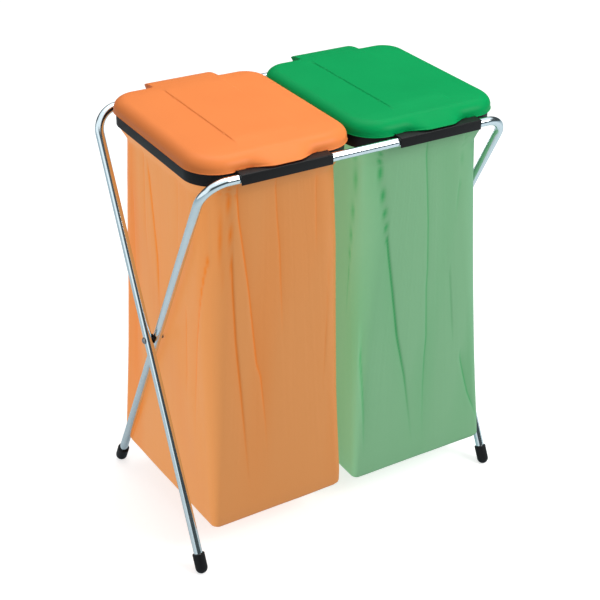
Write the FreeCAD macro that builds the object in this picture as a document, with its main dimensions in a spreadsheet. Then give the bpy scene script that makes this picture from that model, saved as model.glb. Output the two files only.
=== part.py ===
import FreeCAD, Part
import math
import os
import re
import Sketcher

# Folding stand for two trash bags. Two crossed U frames of bent tube carry two plastic rings,
# and each ring holds a film bag and has a domed lid hinged at the back.
# Millimetres, +Z up. The origin is on the floor under the middle of the stand, +Y points to the rear.

# Driving dimensions
SIZES = [
    # tube frames
    ("tube_diameter", 18.0),
    ("tube_wall", 1.2),
    ("bend_radius", 50.0),
    ("bar_height", 857.0),
    ("bar_setback", 16.5),
    ("foot_splay", 8.5),
    ("leg_side_room", 0.5),
    # feet
    ("cap_diameter", 25.2),
    ("cap_length", 42.0),
    ("cap_mouth_bevel", 1.5),
    ("cap_tip_height", 11.8),
    ("tube_end_setback", 17.0),
    ("cap_bore_clearance", 0.1),
    # leg pivots
    ("rivet_diameter", 6.0),
    ("rivet_head_diameter", 14.0),
    ("rivet_head_height", 4.0),
    ("rivet_tail_diameter", 10.0),
    ("rivet_tail_height", 2.6),
    ("spacer_diameter", 20.0),
    ("spacer_thickness", 1.5),
    ("running_clearance", 0.05),
    ("side_clearance", 0.25),
    # bag rings
    ("ring_gap", 10.0),
    ("ring_width", 336.0),
    ("ring_length", 392.0),
    ("ring_corner", 64.0),
    ("ring_wall", 2.5),
    ("ring_drop", 11.0),
    ("ring_rise", 13.0),
    ("ring_bevel", 1.5),
    ("sleeve_length", 193.0),
    ("sleeve_wall", 2.7),
    ("hook_clearance", 0.3),
    ("hook_drop", 12.0),
    ("hook_edge_radius", 2.0),
    ("clip_gap", 14.0),
    # hoops that clamp the bags in the rings
    ("hoop_wall", 2.5),
    ("hoop_drop", 20.0),
    ("flange_width", 6.0),
    ("flange_thickness", 1.5),
    ("seat_clearance", 0.3),
    # lids
    ("lid_side_overhang", 3.5),
    ("lid_end_overhang", 5.0),
    ("lid_corner_spread", 3.0),
    ("lid_wall", 2.4),
    ("lid_rim_rise", 9.0),
    ("lid_crown_rise", 40.0),
    ("crown_corner", 20.0),
    ("notch_clearance", 0.8),
    ("panel_width", 131.0),
    ("panel_setback", 71.0),
    ("panel_bulge", 4.0),
    ("panel_fall", 4.2),
    ("panel_rear_inset", 11.0),
    ("panel_root_depth", 8.0),
    ("panel_root_length", 20.0),
    ("lip_reach", 12.0),
    ("lip_rise", 15.8),
    ("lip_thickness", 3.0),
    ("lip_slope_depth", 25.0),
    ("lip_slope_rise", 18.2),
    ("lip_flat", 84.0),
    ("lip_sweep", 26.0),
    # lid hinges
    ("pin_setback", 2.5),
    ("pin_rise", 17.0),
    ("pin_diameter", 4.0),
    ("pin_head_diameter", 6.4),
    ("pin_head_thickness", 1.2),
    ("knuckle_radius", 5.0),
    ("knuckle_width", 12.0),
    ("knuckle_inset", 3.0),
    ("ear_thickness", 4.0),
    ("ear_radius", 9.0),
    ("tab_reach", 11.6),
    ("tab_thickness", 2.8),
    ("tab_edge", 2.0),
    ("tab_edge_slope", 1.9),
    ("tab_bend_reach", 3.0),
    ("tab_root_fall", 1.5),
    ("tab_bend_fall", 2.4),
    ("tab_inner_fall", 2.3),
    ("tab_end_fall", 7.2),
    ("knuckle_rib_fall", 3.5),
    # film bags
    ("film_thickness", 1.2),
    ("bag_bottom_height", 75.0),
    ("bag_neck_drop", 38.4),
    ("neck_side_inset", 12.0),
    ("neck_end_inset", 4.0),
    ("base_side_inset", 18.0),
    ("base_end_spread", 2.0),
    ("bag_base_corner", 16.0),
    ("bag_fold_depth", 2.4),
]

# Lengths and places that several pieces share, worked out from the driving dimensions
PLACES = [
    # tube frames
    ("tube_radius", "tube_diameter / 2"),
    ("bar_reach", "ring_length / 2 + bar_setback"),
    ("foot_reach", "bar_reach + foot_splay"),
    ("inner_leg_offset", "ring_width + ring_gap / 2 + leg_side_room"),
    ("outer_leg_offset", "inner_leg_offset + tube_diameter + spacer_thickness + 2 * side_clearance"),
    ("leg_run", "bar_reach + foot_reach"),
    ("leg_length", "sqrt(leg_run ^ 2 + bar_height ^ 2)"),
    ("leg_lean", "atan(leg_run / bar_height)"),
    ("front_bar_tilt", "90 deg + leg_lean"),
    ("rear_bar_tilt", "90 deg - leg_lean"),
    ("pivot_along_leg", "leg_length * bar_reach / leg_run"),
    ("pivot_height", "bar_height * foot_reach / leg_run"),
    ("rivet_bore", "rivet_diameter / 2 + running_clearance"),
    # bag rings
    ("ring_offset", "(ring_width + ring_gap) / 2"),
    ("inner_half_width", "ring_width / 2 - ring_wall"),
    ("inner_half_length", "ring_length / 2 - ring_wall"),
    ("wall_middle", "inner_half_length + ring_wall / 2"),
    ("sleeve_bore", "tube_radius + running_clearance"),
    ("sleeve_radius", "sleeve_bore + sleeve_wall"),
    ("hook_bore", "tube_radius + hook_clearance"),
    ("hook_top", "hook_bore + sleeve_wall"),
    ("hook_face", "bar_reach + hook_top"),
    # lids
    ("lid_half_width", "ring_width / 2 + lid_side_overhang"),
    ("lid_half_length", "ring_length / 2 + lid_end_overhang"),
    ("lid_corner", "ring_corner + lid_corner_spread"),
    ("dome_rise", "lid_crown_rise - lid_rim_rise"),
    ("lip_front", "lid_half_length + lip_reach"),
    ("slope_back", "lip_front - lip_slope_depth"),
    ("panel_half_width", "panel_width / 2"),
    ("panel_front", "lid_half_length - panel_setback"),
    ("panel_rear", "lid_half_length - panel_rear_inset"),
    ("panel_rear_rise", "lid_crown_rise - panel_fall"),
    ("panel_chord", "sqrt((panel_front + panel_rear) ^ 2 + panel_fall ^ 2)"),
    ("panel_radius", "(panel_chord ^ 2 / 4 + panel_bulge ^ 2) / (2 * panel_bulge)"),
    # lid hinges
    ("pin_reach", "bar_reach + pin_setback"),
    ("pin_bore", "pin_diameter / 2 + running_clearance"),
    ("ear_start", "panel_half_width + 2 * side_clearance"),
    ("ear_end", "ear_start + ear_thickness"),
    ("tab_end", "pin_reach + tab_reach"),
    # film bags
    ("neck_half_width", "ring_width / 2 - neck_side_inset"),
    ("neck_half_length", "ring_length / 2 - neck_end_inset"),
    ("base_half_width", "ring_width / 2 - base_side_inset"),
    ("base_half_length", "ring_length / 2 + base_end_spread"),
]

# The lid's curve from rim to crown: how far each level lies inside the rim, and its share of the rise
DOME_LEVELS = [
    (0.0, 0.0), (0.4, 0.26), (1.4, 0.43), (3.3, 0.58), (6.2, 0.70),
    (10.5, 0.79), (16.0, 0.85), (23.5, 0.90), (40.0, 0.95), (71.5, 1.0),
]

SIDES = [("left", -1), ("right", 1)]
FOLDS_ROUND_BAG = 26
POINTS_A_FOLD = 4

doc = FreeCAD.newDocument("TrashBagStand")
sheet_of = {}


def spell(formula):
    """A formula with the sheet's name before each named cell."""
    return re.sub(r"[a-z_]+", lambda word: sheet_of.get(word[0], "") + word[0], formula)


def fill_sheet(name, rows):
    """A sheet with one named cell a row."""
    sheet = doc.addObject("Spreadsheet::Sheet", name)
    for row, (alias, content) in enumerate(rows, start=1):
        text = str(content) if isinstance(content, float) else "=" + spell(content)
        sheet.set(f"A{row}", alias)
        sheet.set(f"B{row}", text)
        sheet.setAlias(f"B{row}", alias)
        sheet_of[alias] = name + "."
    doc.recompute()
    return sheet


fill_sheet("Sizes", SIZES)
places = fill_sheet("Places", PLACES)


def value(formula):
    """What a formula of named cells comes to, as a number."""
    result = places.evalExpression(spell(formula))
    return float(getattr(result, "Value", result))


def bind(thing, setting, formula):
    thing.setExpression(setting, spell(formula))


# Sketches and features
def new_body(label):
    body = doc.addObject("PartDesign::Body", label)
    body.Label = label
    return body


def new_sketch(body, name, role, offset=None):
    """A sketch on one of the body's origin planes, moved along the plane's normal."""
    sketch = body.newObject("Sketcher::SketchObject", name)
    plane = next(origin for origin in body.Origin.OriginFeatures if origin.Role == role)
    sketch.AttachmentSupport = (plane, [""])
    sketch.MapMode = "FlatFace"
    if offset:
        bind(sketch, "AttachmentOffset.Base.z", offset)
    return sketch


def measure(sketch, kind, formula, *ends):
    """A dimension of a sketch that follows a formula."""
    index = sketch.addConstraint(Sketcher.Constraint(kind, *ends, value(formula)))
    bind(sketch, f"Constraints[{index}]", formula)


def pin_down(sketch, edge, end, across, up):
    """Ties one end of an edge to the sketch's origin."""
    measure(sketch, "DistanceX", across, -1, 1, edge, end)
    measure(sketch, "DistanceY", up, -1, 1, edge, end)


def add_circle(sketch, across, up, radius):
    middle = FreeCAD.Vector(value(across), value(up), 0)
    edge = sketch.addGeometry(Part.Circle(middle, FreeCAD.Vector(0, 0, 1), value(radius)))
    pin_down(sketch, edge, 3, across, up)
    measure(sketch, "Radius", radius, edge)


def arc_between(start, end, radius, bulge):
    """The shorter arc of a radius that bulges to the left or the right of the way to its end."""
    chord = end - start
    rise = math.sqrt(max(radius ** 2 - (chord.Length / 2) ** 2, 0.0))
    side = FreeCAD.Vector(-chord.y, chord.x, 0).normalize() * (1 if bulge == "left" else -1)
    centre = (start + end) / 2 - side * rise
    first, last = (end, start) if bulge == "left" else (start, end)
    angles = [math.atan2(point.y - centre.y, point.x - centre.x) for point in (first, last)]
    if angles[1] < angles[0]:
        angles[1] += 2 * math.pi
    return Part.ArcOfCircle(Part.Circle(centre, FreeCAD.Vector(0, 0, 1), radius), *angles)


def add_outline(sketch, corners, arcs=None, closed=True):
    """Edges from corner to corner. arcs gives the radius and bulge of the edge after a corner."""
    arcs = arcs or {}
    points = [FreeCAD.Vector(value(across), value(up), 0) for across, up in corners]
    count = len(corners) if closed else len(corners) - 1
    edges = []
    for number in range(count):
        start = points[number]
        end = points[(number + 1) % len(points)]
        first, last = 1, 2
        if number in arcs:
            radius, bulge = arcs[number]
            edge = sketch.addGeometry(arc_between(start, end, value(radius), bulge))
            if bulge == "left":
                first, last = 2, 1
            measure(sketch, "Radius", radius, edge)
        else:
            edge = sketch.addGeometry(Part.LineSegment(start, end))
        edges.append((edge, first, last))
    for number, (edge, first, last) in enumerate(edges):
        if number == 0 and not closed:
            pin_down(sketch, edge, first, *corners[0])
        if closed or number < count - 1:
            following = edges[(number + 1) % count]
            joint = Sketcher.Constraint("Coincident", edge, last, following[0], following[1])
            sketch.addConstraint(joint)
        pin_down(sketch, edge, last, *corners[(number + 1) % len(corners)])


def add_rounded_rectangle(sketch, half_width, half_length, corner):
    """Four straight sides joined by four tangent arcs, round the sketch's origin."""
    radius = value(corner)
    straight_x = value(half_width) - radius
    straight_y = value(half_length) - radius
    arcs = []
    for quarter, (x_sign, y_sign) in enumerate([(1, 1), (-1, 1), (-1, -1), (1, -1)]):
        centre = FreeCAD.Vector(x_sign * straight_x, y_sign * straight_y, 0)
        circle = Part.Circle(centre, FreeCAD.Vector(0, 0, 1), radius)
        start = quarter * math.pi / 2
        arcs.append(sketch.addGeometry(Part.ArcOfCircle(circle, start, start + math.pi / 2)))
    sides = []
    for number, arc in enumerate(arcs):
        following = arcs[(number + 1) % 4]
        ends = sketch.Geometry[arc].EndPoint, sketch.Geometry[following].StartPoint
        side = sketch.addGeometry(Part.LineSegment(*ends))
        sketch.addConstraint(Sketcher.Constraint("Tangent", arc, 2, side, 1))
        sketch.addConstraint(Sketcher.Constraint("Tangent", side, 2, following, 1))
        sketch.addConstraint(Sketcher.Constraint("Vertical" if number % 2 else "Horizontal", side))
        sides.append(side)
    for arc in arcs[1:]:
        sketch.addConstraint(Sketcher.Constraint("Equal", arcs[0], arc))
    measure(sketch, "Radius", corner, arcs[0])
    measure(sketch, "DistanceY", half_length, -1, 1, sides[0], 1)
    measure(sketch, "DistanceX", f"-({half_width})", -1, 1, sides[1], 1)
    measure(sketch, "DistanceY", f"-({half_length})", -1, 1, sides[2], 1)
    measure(sketch, "DistanceX", half_width, -1, 1, sides[3], 1)


def add_pad(body, name, sketch, length, symmetric=False):
    pad = body.newObject("PartDesign::Pad", name)
    pad.Profile = sketch
    bind(pad, "Length", length)
    pad.SideType = "Symmetric" if symmetric else "One side"
    return pad


def check_cut(body, name, before):
    doc.recompute()
    if body.Shape.Volume > before - 0.01:
        raise RuntimeError(f"{name} of {body.Label} takes nothing away")


def add_pocket(body, name, sketch, length, symmetric=False, upwards=False):
    """A cut along the sketch's normal, or against it as a pocket goes by itself."""
    doc.recompute()
    before = body.Shape.Volume
    pocket = body.newObject("PartDesign::Pocket", name)
    pocket.Profile = sketch
    bind(pocket, "Length", length)
    pocket.SideType = "Symmetric" if symmetric else "One side"
    pocket.Reversed = upwards
    check_cut(body, name, before)


def add_turned(body, name, sketch, axis):
    turned = body.newObject("PartDesign::Revolution", name)
    turned.Profile = sketch
    turned.ReferenceAxis = (sketch, [axis])
    turned.Angle = 360
    return turned


def put(part, x=None, y=None, z=None, tilt=None, half_turn=False):
    """Places a body: moved along the axes and tilted about X, or turned half round about Z."""
    if half_turn:
        part.Placement = FreeCAD.Placement(
            FreeCAD.Vector(), FreeCAD.Rotation(FreeCAD.Vector(0, 0, 1), 180)
        )
    if tilt:
        part.Placement = FreeCAD.Placement(
            FreeCAD.Vector(), FreeCAD.Rotation(FreeCAD.Vector(1, 0, 0), value(tilt))
        )
        bind(part, "Placement.Rotation.Angle", tilt)
    for axis, formula in (("x", x), ("y", y), ("z", z)):
        if formula:
            bind(part, f"Placement.Base.{axis}", formula)


# Each U frame is one bent tube, drawn lying flat with its bar on the X axis
def make_bar_frame(label, leg_offset, reach, tilt):
    body = new_body(label)
    path = new_sketch(body, label + "_path", "XY_Plane")
    leg_end = "-(leg_length - tube_end_setback)"
    corners = [
        (f"-{leg_offset}", leg_end),
        (f"-{leg_offset}", "-bend_radius"),
        (f"-({leg_offset} - bend_radius)", "0"),
        (f"{leg_offset} - bend_radius", "0"),
        (leg_offset, "-bend_radius"),
        (leg_offset, leg_end),
    ]
    bends = {1: ("bend_radius", "left"), 3: ("bend_radius", "left")}
    add_outline(path, corners, bends, closed=False)
    for name, kind, radius in (("tube", "PartDesign::AdditivePipe", "tube_radius"),
                               ("bore", "PartDesign::SubtractivePipe", "tube_radius - tube_wall")):
        section = new_sketch(body, f"{label}_{name}_section", "XZ_Plane", "leg_length - tube_end_setback")
        add_circle(section, f"-{leg_offset}", "0", radius)
        doc.recompute()
        pipe = body.newObject(kind, f"{label}_{name}")
        pipe.Profile = section
        pipe.Spine = path
    hole = new_sketch(body, label + "_rivet_hole", "YZ_Plane")
    add_circle(hole, "-pivot_along_leg", "0", "rivet_bore")
    add_pocket(body, label + "_rivet_holes", hole, f"2 * {leg_offset} + 2 * tube_diameter", symmetric=True)
    put(body, y=reach, z="bar_height", tilt=tilt)
    return body


# A moulded cap on the end of a leg, turned about the leg, with a small flat on the floor
def make_foot_cap(label, x, y, lean):
    body = new_body(label)
    profile = new_sketch(body, label + "_profile", "XZ_Plane")
    ball_centre = "cap_tip_height / cos(leg_lean)"
    mouth = f"{ball_centre} - cap_diameter / 2 + cap_length"
    corners = [
        ("0", f"{ball_centre} - cap_diameter / 2"),
        ("cap_diameter / 2", ball_centre),
        ("cap_diameter / 2", f"{mouth} - cap_mouth_bevel"),
        ("cap_diameter / 2 - cap_mouth_bevel", mouth),
        ("tube_radius + cap_bore_clearance", mouth),
        ("tube_radius + cap_bore_clearance", "tube_end_setback - seat_clearance"),
        ("0", "tube_end_setback - seat_clearance"),
    ]
    add_outline(profile, corners, {0: ("cap_diameter / 2", "right")})
    add_turned(body, label + "_turned", profile, "V_Axis")
    floor = new_sketch(body, label + "_floor", "YZ_Plane")
    way = "-" if lean.startswith("-") else ""
    other_way = "" if way else "-"
    run = "cap_diameter * cos(leg_lean)"
    rise = "cap_diameter * sin(leg_lean)"
    below = [(run, f"{other_way}{rise}"), (f"-{run}", f"{way}{rise}"), (f"{other_way}{rise}", f"-{run}")]
    add_outline(floor, below)
    add_pocket(body, label + "_flat", floor, "2 * cap_diameter", symmetric=True)
    put(body, x=x, y=y, tilt=lean)
    return body


# The rivet through both legs of a side: domed head outside, flat tail inside
def make_pivot_rivet(side, sign):
    label = f"pivot_rivet_{side}"
    body = new_body(label)
    profile = new_sketch(body, label + "_profile", "XZ_Plane")
    seat = "outer_leg_offset + tube_radius + side_clearance"
    tail_seat = "inner_leg_offset - tube_radius - side_clearance"
    corners = [
        (f"{tail_seat} - rivet_tail_height", "0"),
        (f"{seat} + rivet_head_height", "0"),
        (seat, "rivet_head_diameter / 2"),
        (seat, "rivet_diameter / 2"),
        (tail_seat, "rivet_diameter / 2"),
        (tail_seat, "rivet_tail_diameter / 2"),
        (f"{tail_seat} - rivet_tail_height", "rivet_tail_diameter / 2"),
    ]
    dome = "(rivet_head_diameter ^ 2 / 4 + rivet_head_height ^ 2) / (2 * rivet_head_height)"
    add_outline(profile, corners, {1: (dome, "right")})
    add_turned(body, label + "_turned", profile, "H_Axis")
    put(body, z="pivot_height", half_turn=sign < 0)
    return body


# The washer that keeps the two legs of a side apart
def make_pivot_spacer(side, sign):
    label = f"pivot_spacer_{side}"
    body = new_body(label)
    leg_side = "inner_leg_offset + tube_radius + side_clearance"
    section = new_sketch(body, label + "_section", "YZ_Plane", leg_side)
    add_circle(section, "0", "0", "spacer_diameter / 2")
    add_circle(section, "0", "0", "rivet_bore")
    add_pad(body, label + "_disc", section, "spacer_thickness")
    put(body, z="pivot_height", half_turn=sign < 0)
    return body


# A bag ring: a moulded band with a hook over the front bar, a clip round the rear bar
# and two ears for the lid's pin. Drawn with its middle on the Z axis and the bars at height 0.
def make_bag_ring(side, sign):
    label = f"bag_ring_{side}"
    body = new_body(label)
    outside = new_sketch(body, label + "_outside", "XY_Plane", "-ring_drop")
    add_rounded_rectangle(outside, "ring_width / 2", "ring_length / 2", "ring_corner")
    add_pad(body, label + "_block", outside, "ring_drop + ring_rise")
    doc.recompute()
    block = body.Tip
    low = [
        f"Edge{number}"
        for number, edge in enumerate(block.Shape.Edges, start=1)
        if edge.BoundBox.ZMax < value("-ring_drop") + 0.01
    ]
    bevel = body.newObject("PartDesign::Chamfer", label + "_bevel")
    bevel.Base = (block, low)
    bind(bevel, "Size", "ring_bevel")
    inside = new_sketch(body, label + "_inside", "XY_Plane", "-ring_drop")
    corner = "ring_corner - ring_wall"
    add_rounded_rectangle(inside, "inner_half_width", "inner_half_length", corner)
    add_pocket(body, label + "_hollow", inside, "ring_drop + ring_rise", upwards=True)
    add_front_hook(body, label)
    add_rear_clip(body, label)
    put(body, x=f"{sign} * ring_offset", z="bar_height")
    return body


def add_front_hook(body, label):
    """An upside-down J over the front bar, open below and towards the ring."""
    profile = new_sketch(body, label + "_hook_profile", "YZ_Plane")
    gap_face = "-(bar_reach + hook_bore)"
    corners = [
        ("-wall_middle", "hook_bore"),
        ("-wall_middle", "hook_top"),
        ("-(hook_face - hook_edge_radius)", "hook_top"),
        ("-hook_face", "hook_top - hook_edge_radius"),
        ("-hook_face", "-hook_drop"),
        (gap_face, "-hook_drop"),
        (gap_face, "0"),
        ("-bar_reach", "hook_bore"),
    ]
    arcs = {2: ("hook_edge_radius", "right"), 6: ("hook_bore", "left")}
    add_outline(profile, corners, arcs)
    add_pad(body, label + "_hook", profile, "sleeve_length", symmetric=True)


def add_rear_clip(body, label):
    """A clip that snaps round the rear bar, with an ear at each end of the lid's pin."""
    block = new_sketch(body, label + "_clip_block", "YZ_Plane")
    corners = [
        ("wall_middle", "sleeve_radius"),
        ("bar_reach", "sleeve_radius"),
        ("bar_reach + sleeve_radius", "0"),
        ("bar_reach", "-sleeve_radius"),
        ("wall_middle", "-sleeve_radius"),
    ]
    add_outline(block, corners, {1: ("sleeve_radius", "left"), 2: ("sleeve_radius", "left")})
    add_pad(body, label + "_clip", block, "sleeve_length", symmetric=True)
    for name, start in (("near", "ear_start"), ("far", "-ear_end")):
        ear = new_sketch(body, f"{label}_{name}_ear_profile", "YZ_Plane", start)
        sides = [
            ("pin_reach - ear_radius", "0"),
            ("pin_reach - ear_radius", "pin_rise"),
            ("pin_reach", "pin_rise + ear_radius"),
            ("pin_reach + ear_radius", "pin_rise"),
            ("pin_reach + ear_radius", "0"),
        ]
        add_outline(ear, sides, {1: ("ear_radius", "left"), 2: ("ear_radius", "left")})
        add_pad(body, f"{label}_{name}_ear", ear, "ear_thickness")
    bore = new_sketch(body, label + "_bores", "YZ_Plane")
    add_circle(bore, "bar_reach", "0", "sleeve_bore")
    add_circle(bore, "pin_reach", "pin_rise", "pin_bore")
    add_pocket(body, label + "_bore", bore, "sleeve_length", symmetric=True)
    gap = new_sketch(body, label + "_clip_gap", "YZ_Plane")
    mouth = [
        ("bar_reach - clip_gap / 2", "0"),
        ("bar_reach + clip_gap / 2", "0"),
        ("bar_reach + clip_gap / 2", "-2 * sleeve_radius"),
        ("bar_reach - clip_gap / 2", "-2 * sleeve_radius"),
    ]
    add_outline(gap, mouth)
    add_pocket(body, label + "_clip_mouth", gap, "sleeve_length", symmetric=True)


# The hoop that drops into a ring and holds the bag's mouth against it
HOOP_FIT = ("inner_half_width", "inner_half_length", "ring_corner - ring_wall")


def make_bag_hoop(side, sign):
    label = f"bag_hoop_{side}"
    body = new_body(label)
    inset = "(film_thickness + 2 * seat_clearance)"
    inner = [f"{size} - {inset} - hoop_wall" for size in HOOP_FIT]
    outer = [f"{size} - {inset}" for size in HOOP_FIT]
    rim = [f"{size} + flange_width" for size in inner]
    top = "ring_rise + seat_clearance + flange_thickness"
    band = new_sketch(body, label + "_band_outline", "XY_Plane", top)
    add_rounded_rectangle(band, *outer)
    wall = add_pad(body, label + "_band", band, "hoop_drop + flange_thickness")
    wall.Reversed = True
    flange = new_sketch(body, label + "_flange_outline", "XY_Plane", "ring_rise + seat_clearance")
    add_rounded_rectangle(flange, *rim)
    add_pad(body, label + "_flange", flange, "flange_thickness")
    hole = new_sketch(body, label + "_hole", "XY_Plane", top)
    add_rounded_rectangle(hole, *inner)
    add_pocket(body, label + "_opening", hole, "hoop_drop + 2 * flange_thickness")
    put(body, x=f"{sign} * ring_offset", z="bar_height")
    return body


# A lid: one moulded dome with a raised middle panel that runs back into the hinge tab,
# and a finger lip at the front
def make_lid(side, sign):
    label = f"lid_{side}"
    body = new_body(label)
    add_lip(body, label)
    add_dome(body, label + "_dome", "PartDesign::AdditiveLoft", "0")
    add_panel(body, label)
    doc.recompute()
    before = body.Shape.Volume
    add_dome(body, label + "_hollow", "PartDesign::SubtractiveLoft", "lid_wall")
    check_cut(body, "hollow", before)
    add_knuckles(body, label)
    notch_half = "(sleeve_length / 2 + notch_clearance)"
    notch = new_sketch(body, label + "_notch_outline", "XY_Plane", "hook_top + notch_clearance")
    for way in ("", "-"):
        corners = [
            (f"-{notch_half}", f"{way}panel_front"),
            (notch_half, f"{way}panel_front"),
            (notch_half, f"{way}(lid_half_length + notch_clearance)"),
            (f"-{notch_half}", f"{way}(lid_half_length + notch_clearance)"),
        ]
        add_outline(notch, corners)
    add_pocket(body, label + "_notches", notch, "hook_top")
    put(body, x=f"{sign} * ring_offset", z="bar_height")
    return body


def add_dome(body, name, kind, wall):
    """A loft through rounded rectangles that draw in towards the crown."""
    levels = []
    for number, (inset, share) in enumerate(DOME_LEVELS):
        height = f"lid_rim_rise + {share} * dome_rise - {wall if number else 0}"
        level = new_sketch(body, f"{name}_level_{number}", "XY_Plane", height)
        corner = "crown_corner" if number == len(DOME_LEVELS) - 1 else f"lid_corner - {inset} - {wall}"
        half_width = f"lid_half_width - {inset} - {wall}"
        half_length = f"lid_half_length - {inset} - {wall}"
        add_rounded_rectangle(level, half_width, half_length, corner)
        levels.append(level)
    loft = body.newObject(kind, name)
    loft.Profile = levels[0]
    loft.Sections = levels[1:]
    loft.Ruled = True


def add_lip(body, label):
    """The finger lip: a sloping shelf in front of the skirt with ends that sweep back in an S."""
    outline = new_sketch(body, label + "_lip_outline", "XY_Plane", "lid_rim_rise")
    sweep = "(lip_reach ^ 2 + lip_sweep ^ 2) / (4 * lip_reach)"
    flat = "lip_flat / 2"
    middle = f"{flat} + lip_sweep / 2"
    wide = f"{flat} + lip_sweep"
    halfway = "-(lid_half_length + lip_reach / 2)"
    corners = [
        (f"-({wide})", "-slope_back"),
        (f"-({wide})", "-lid_half_length"),
        (f"-({middle})", halfway),
        (f"-({flat})", "-lip_front"),
        (flat, "-lip_front"),
        (middle, halfway),
        (wide, "-lid_half_length"),
        (wide, "-slope_back"),
    ]
    arcs = {1: (sweep, "left"), 2: (sweep, "right"), 4: (sweep, "right"), 5: (sweep, "left")}
    add_outline(outline, corners, arcs)
    add_pad(body, label + "_lip", outline, "dome_rise")
    above = new_sketch(body, label + "_lip_slope", "YZ_Plane")
    slope_top = "lip_rise + lip_slope_rise"
    add_outline(above, [
        ("-slope_back", slope_top),
        ("-lip_front", "lip_rise"),
        ("-(lip_front + lip_reach)", "lip_rise"),
        ("-(lip_front + lip_reach)", "2 * lid_crown_rise"),
        ("-slope_back + lip_reach", "2 * lid_crown_rise"),
        ("-slope_back + lip_reach", slope_top),
    ])
    add_pocket(body, label + "_lip_top", above, "2 * lip_flat + 2 * lip_sweep", symmetric=True)
    below = new_sketch(body, label + "_lip_underside", "YZ_Plane")
    add_outline(below, [
        ("-slope_back", f"{slope_top} - lip_thickness"),
        ("-lip_front", "lip_rise - lip_thickness"),
        ("-(lip_front + lip_reach)", "lip_rise - lip_thickness"),
        ("-(lip_front + lip_reach)", "0"),
        ("-slope_back", "0"),
    ])
    add_pocket(body, label + "_lip_below", below, "2 * lip_flat + 2 * lip_sweep", symmetric=True)


def add_panel(body, label):
    """The raised panel, a shallow arch along the lid that ends in the tab over the hinge."""
    profile = new_sketch(body, label + "_panel_profile", "YZ_Plane")
    skirt_face = "lid_half_length - lid_wall"
    root_low = "panel_rear_rise - panel_root_depth"
    corners = [
        ("-panel_front", "lid_crown_rise"),
        ("panel_rear", "panel_rear_rise"),
        ("pin_reach + tab_bend_reach", "panel_rear_rise - tab_bend_fall"),
        ("tab_end", "panel_rear_rise - tab_end_fall"),
        ("tab_end - tab_edge_slope", "panel_rear_rise - tab_end_fall - tab_edge"),
        ("pin_reach + tab_bend_reach / 2", "panel_rear_rise - tab_inner_fall - tab_thickness"),
        (skirt_face, "panel_rear_rise - tab_root_fall - tab_thickness"),
        (skirt_face, root_low),
        ("panel_rear - panel_root_depth", root_low),
        ("panel_rear - panel_root_length", "lid_crown_rise - 3 * lid_wall"),
        ("-panel_front", "lid_crown_rise - 2 * lid_wall"),
    ]
    add_outline(profile, corners, {0: ("panel_radius", "left")})
    add_pad(body, label + "_panel", profile, "panel_width", symmetric=True)


def add_knuckles(body, label):
    """Two knuckles under the tab, each with a rib up to it, and the bore for the pin."""
    for name, start in (("near", "panel_half_width - knuckle_inset - knuckle_width"),
                        ("far", "-(panel_half_width - knuckle_inset)")):
        knuckle = new_sketch(body, f"{label}_{name}_knuckle_profile", "YZ_Plane", start)
        corners = [
            ("pin_reach - knuckle_radius", "panel_rear_rise - tab_root_fall - tab_thickness / 2"),
            ("pin_reach - knuckle_radius", "pin_rise"),
            ("pin_reach", "pin_rise - knuckle_radius"),
            ("pin_reach + knuckle_radius", "pin_rise"),
            ("pin_reach + knuckle_radius", "panel_rear_rise - knuckle_rib_fall - tab_thickness / 2"),
        ]
        arcs = {1: ("knuckle_radius", "right"), 2: ("knuckle_radius", "right")}
        add_outline(knuckle, corners, arcs)
        add_pad(body, f"{label}_{name}_knuckle", knuckle, "knuckle_width")
    bore = new_sketch(body, label + "_pin_bore", "YZ_Plane")
    add_circle(bore, "pin_reach", "pin_rise", "pin_bore")
    add_pocket(body, label + "_pin_hole", bore, "panel_width", symmetric=True)


# The pin through a ring's ears and its lid's knuckles, headed at both ends
def make_hinge_pin(side, sign):
    label = f"lid_hinge_pin_{side}"
    body = new_body(label)
    profile = new_sketch(body, label + "_profile", "XZ_Plane")
    corners = [
        ("-(ear_end + pin_head_thickness)", "0"),
        ("-(ear_end + pin_head_thickness)", "pin_head_diameter / 2"),
        ("-ear_end", "pin_head_diameter / 2"),
        ("-ear_end", "pin_diameter / 2"),
        ("ear_end", "pin_diameter / 2"),
        ("ear_end", "pin_head_diameter / 2"),
        ("ear_end + pin_head_thickness", "pin_head_diameter / 2"),
        ("ear_end + pin_head_thickness", "0"),
    ]
    add_outline(profile, corners)
    add_turned(body, label + "_turned", profile, "H_Axis")
    put(body, x=f"{sign} * ring_offset", y="pin_reach", z="bar_height + pin_rise")
    return body


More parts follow.
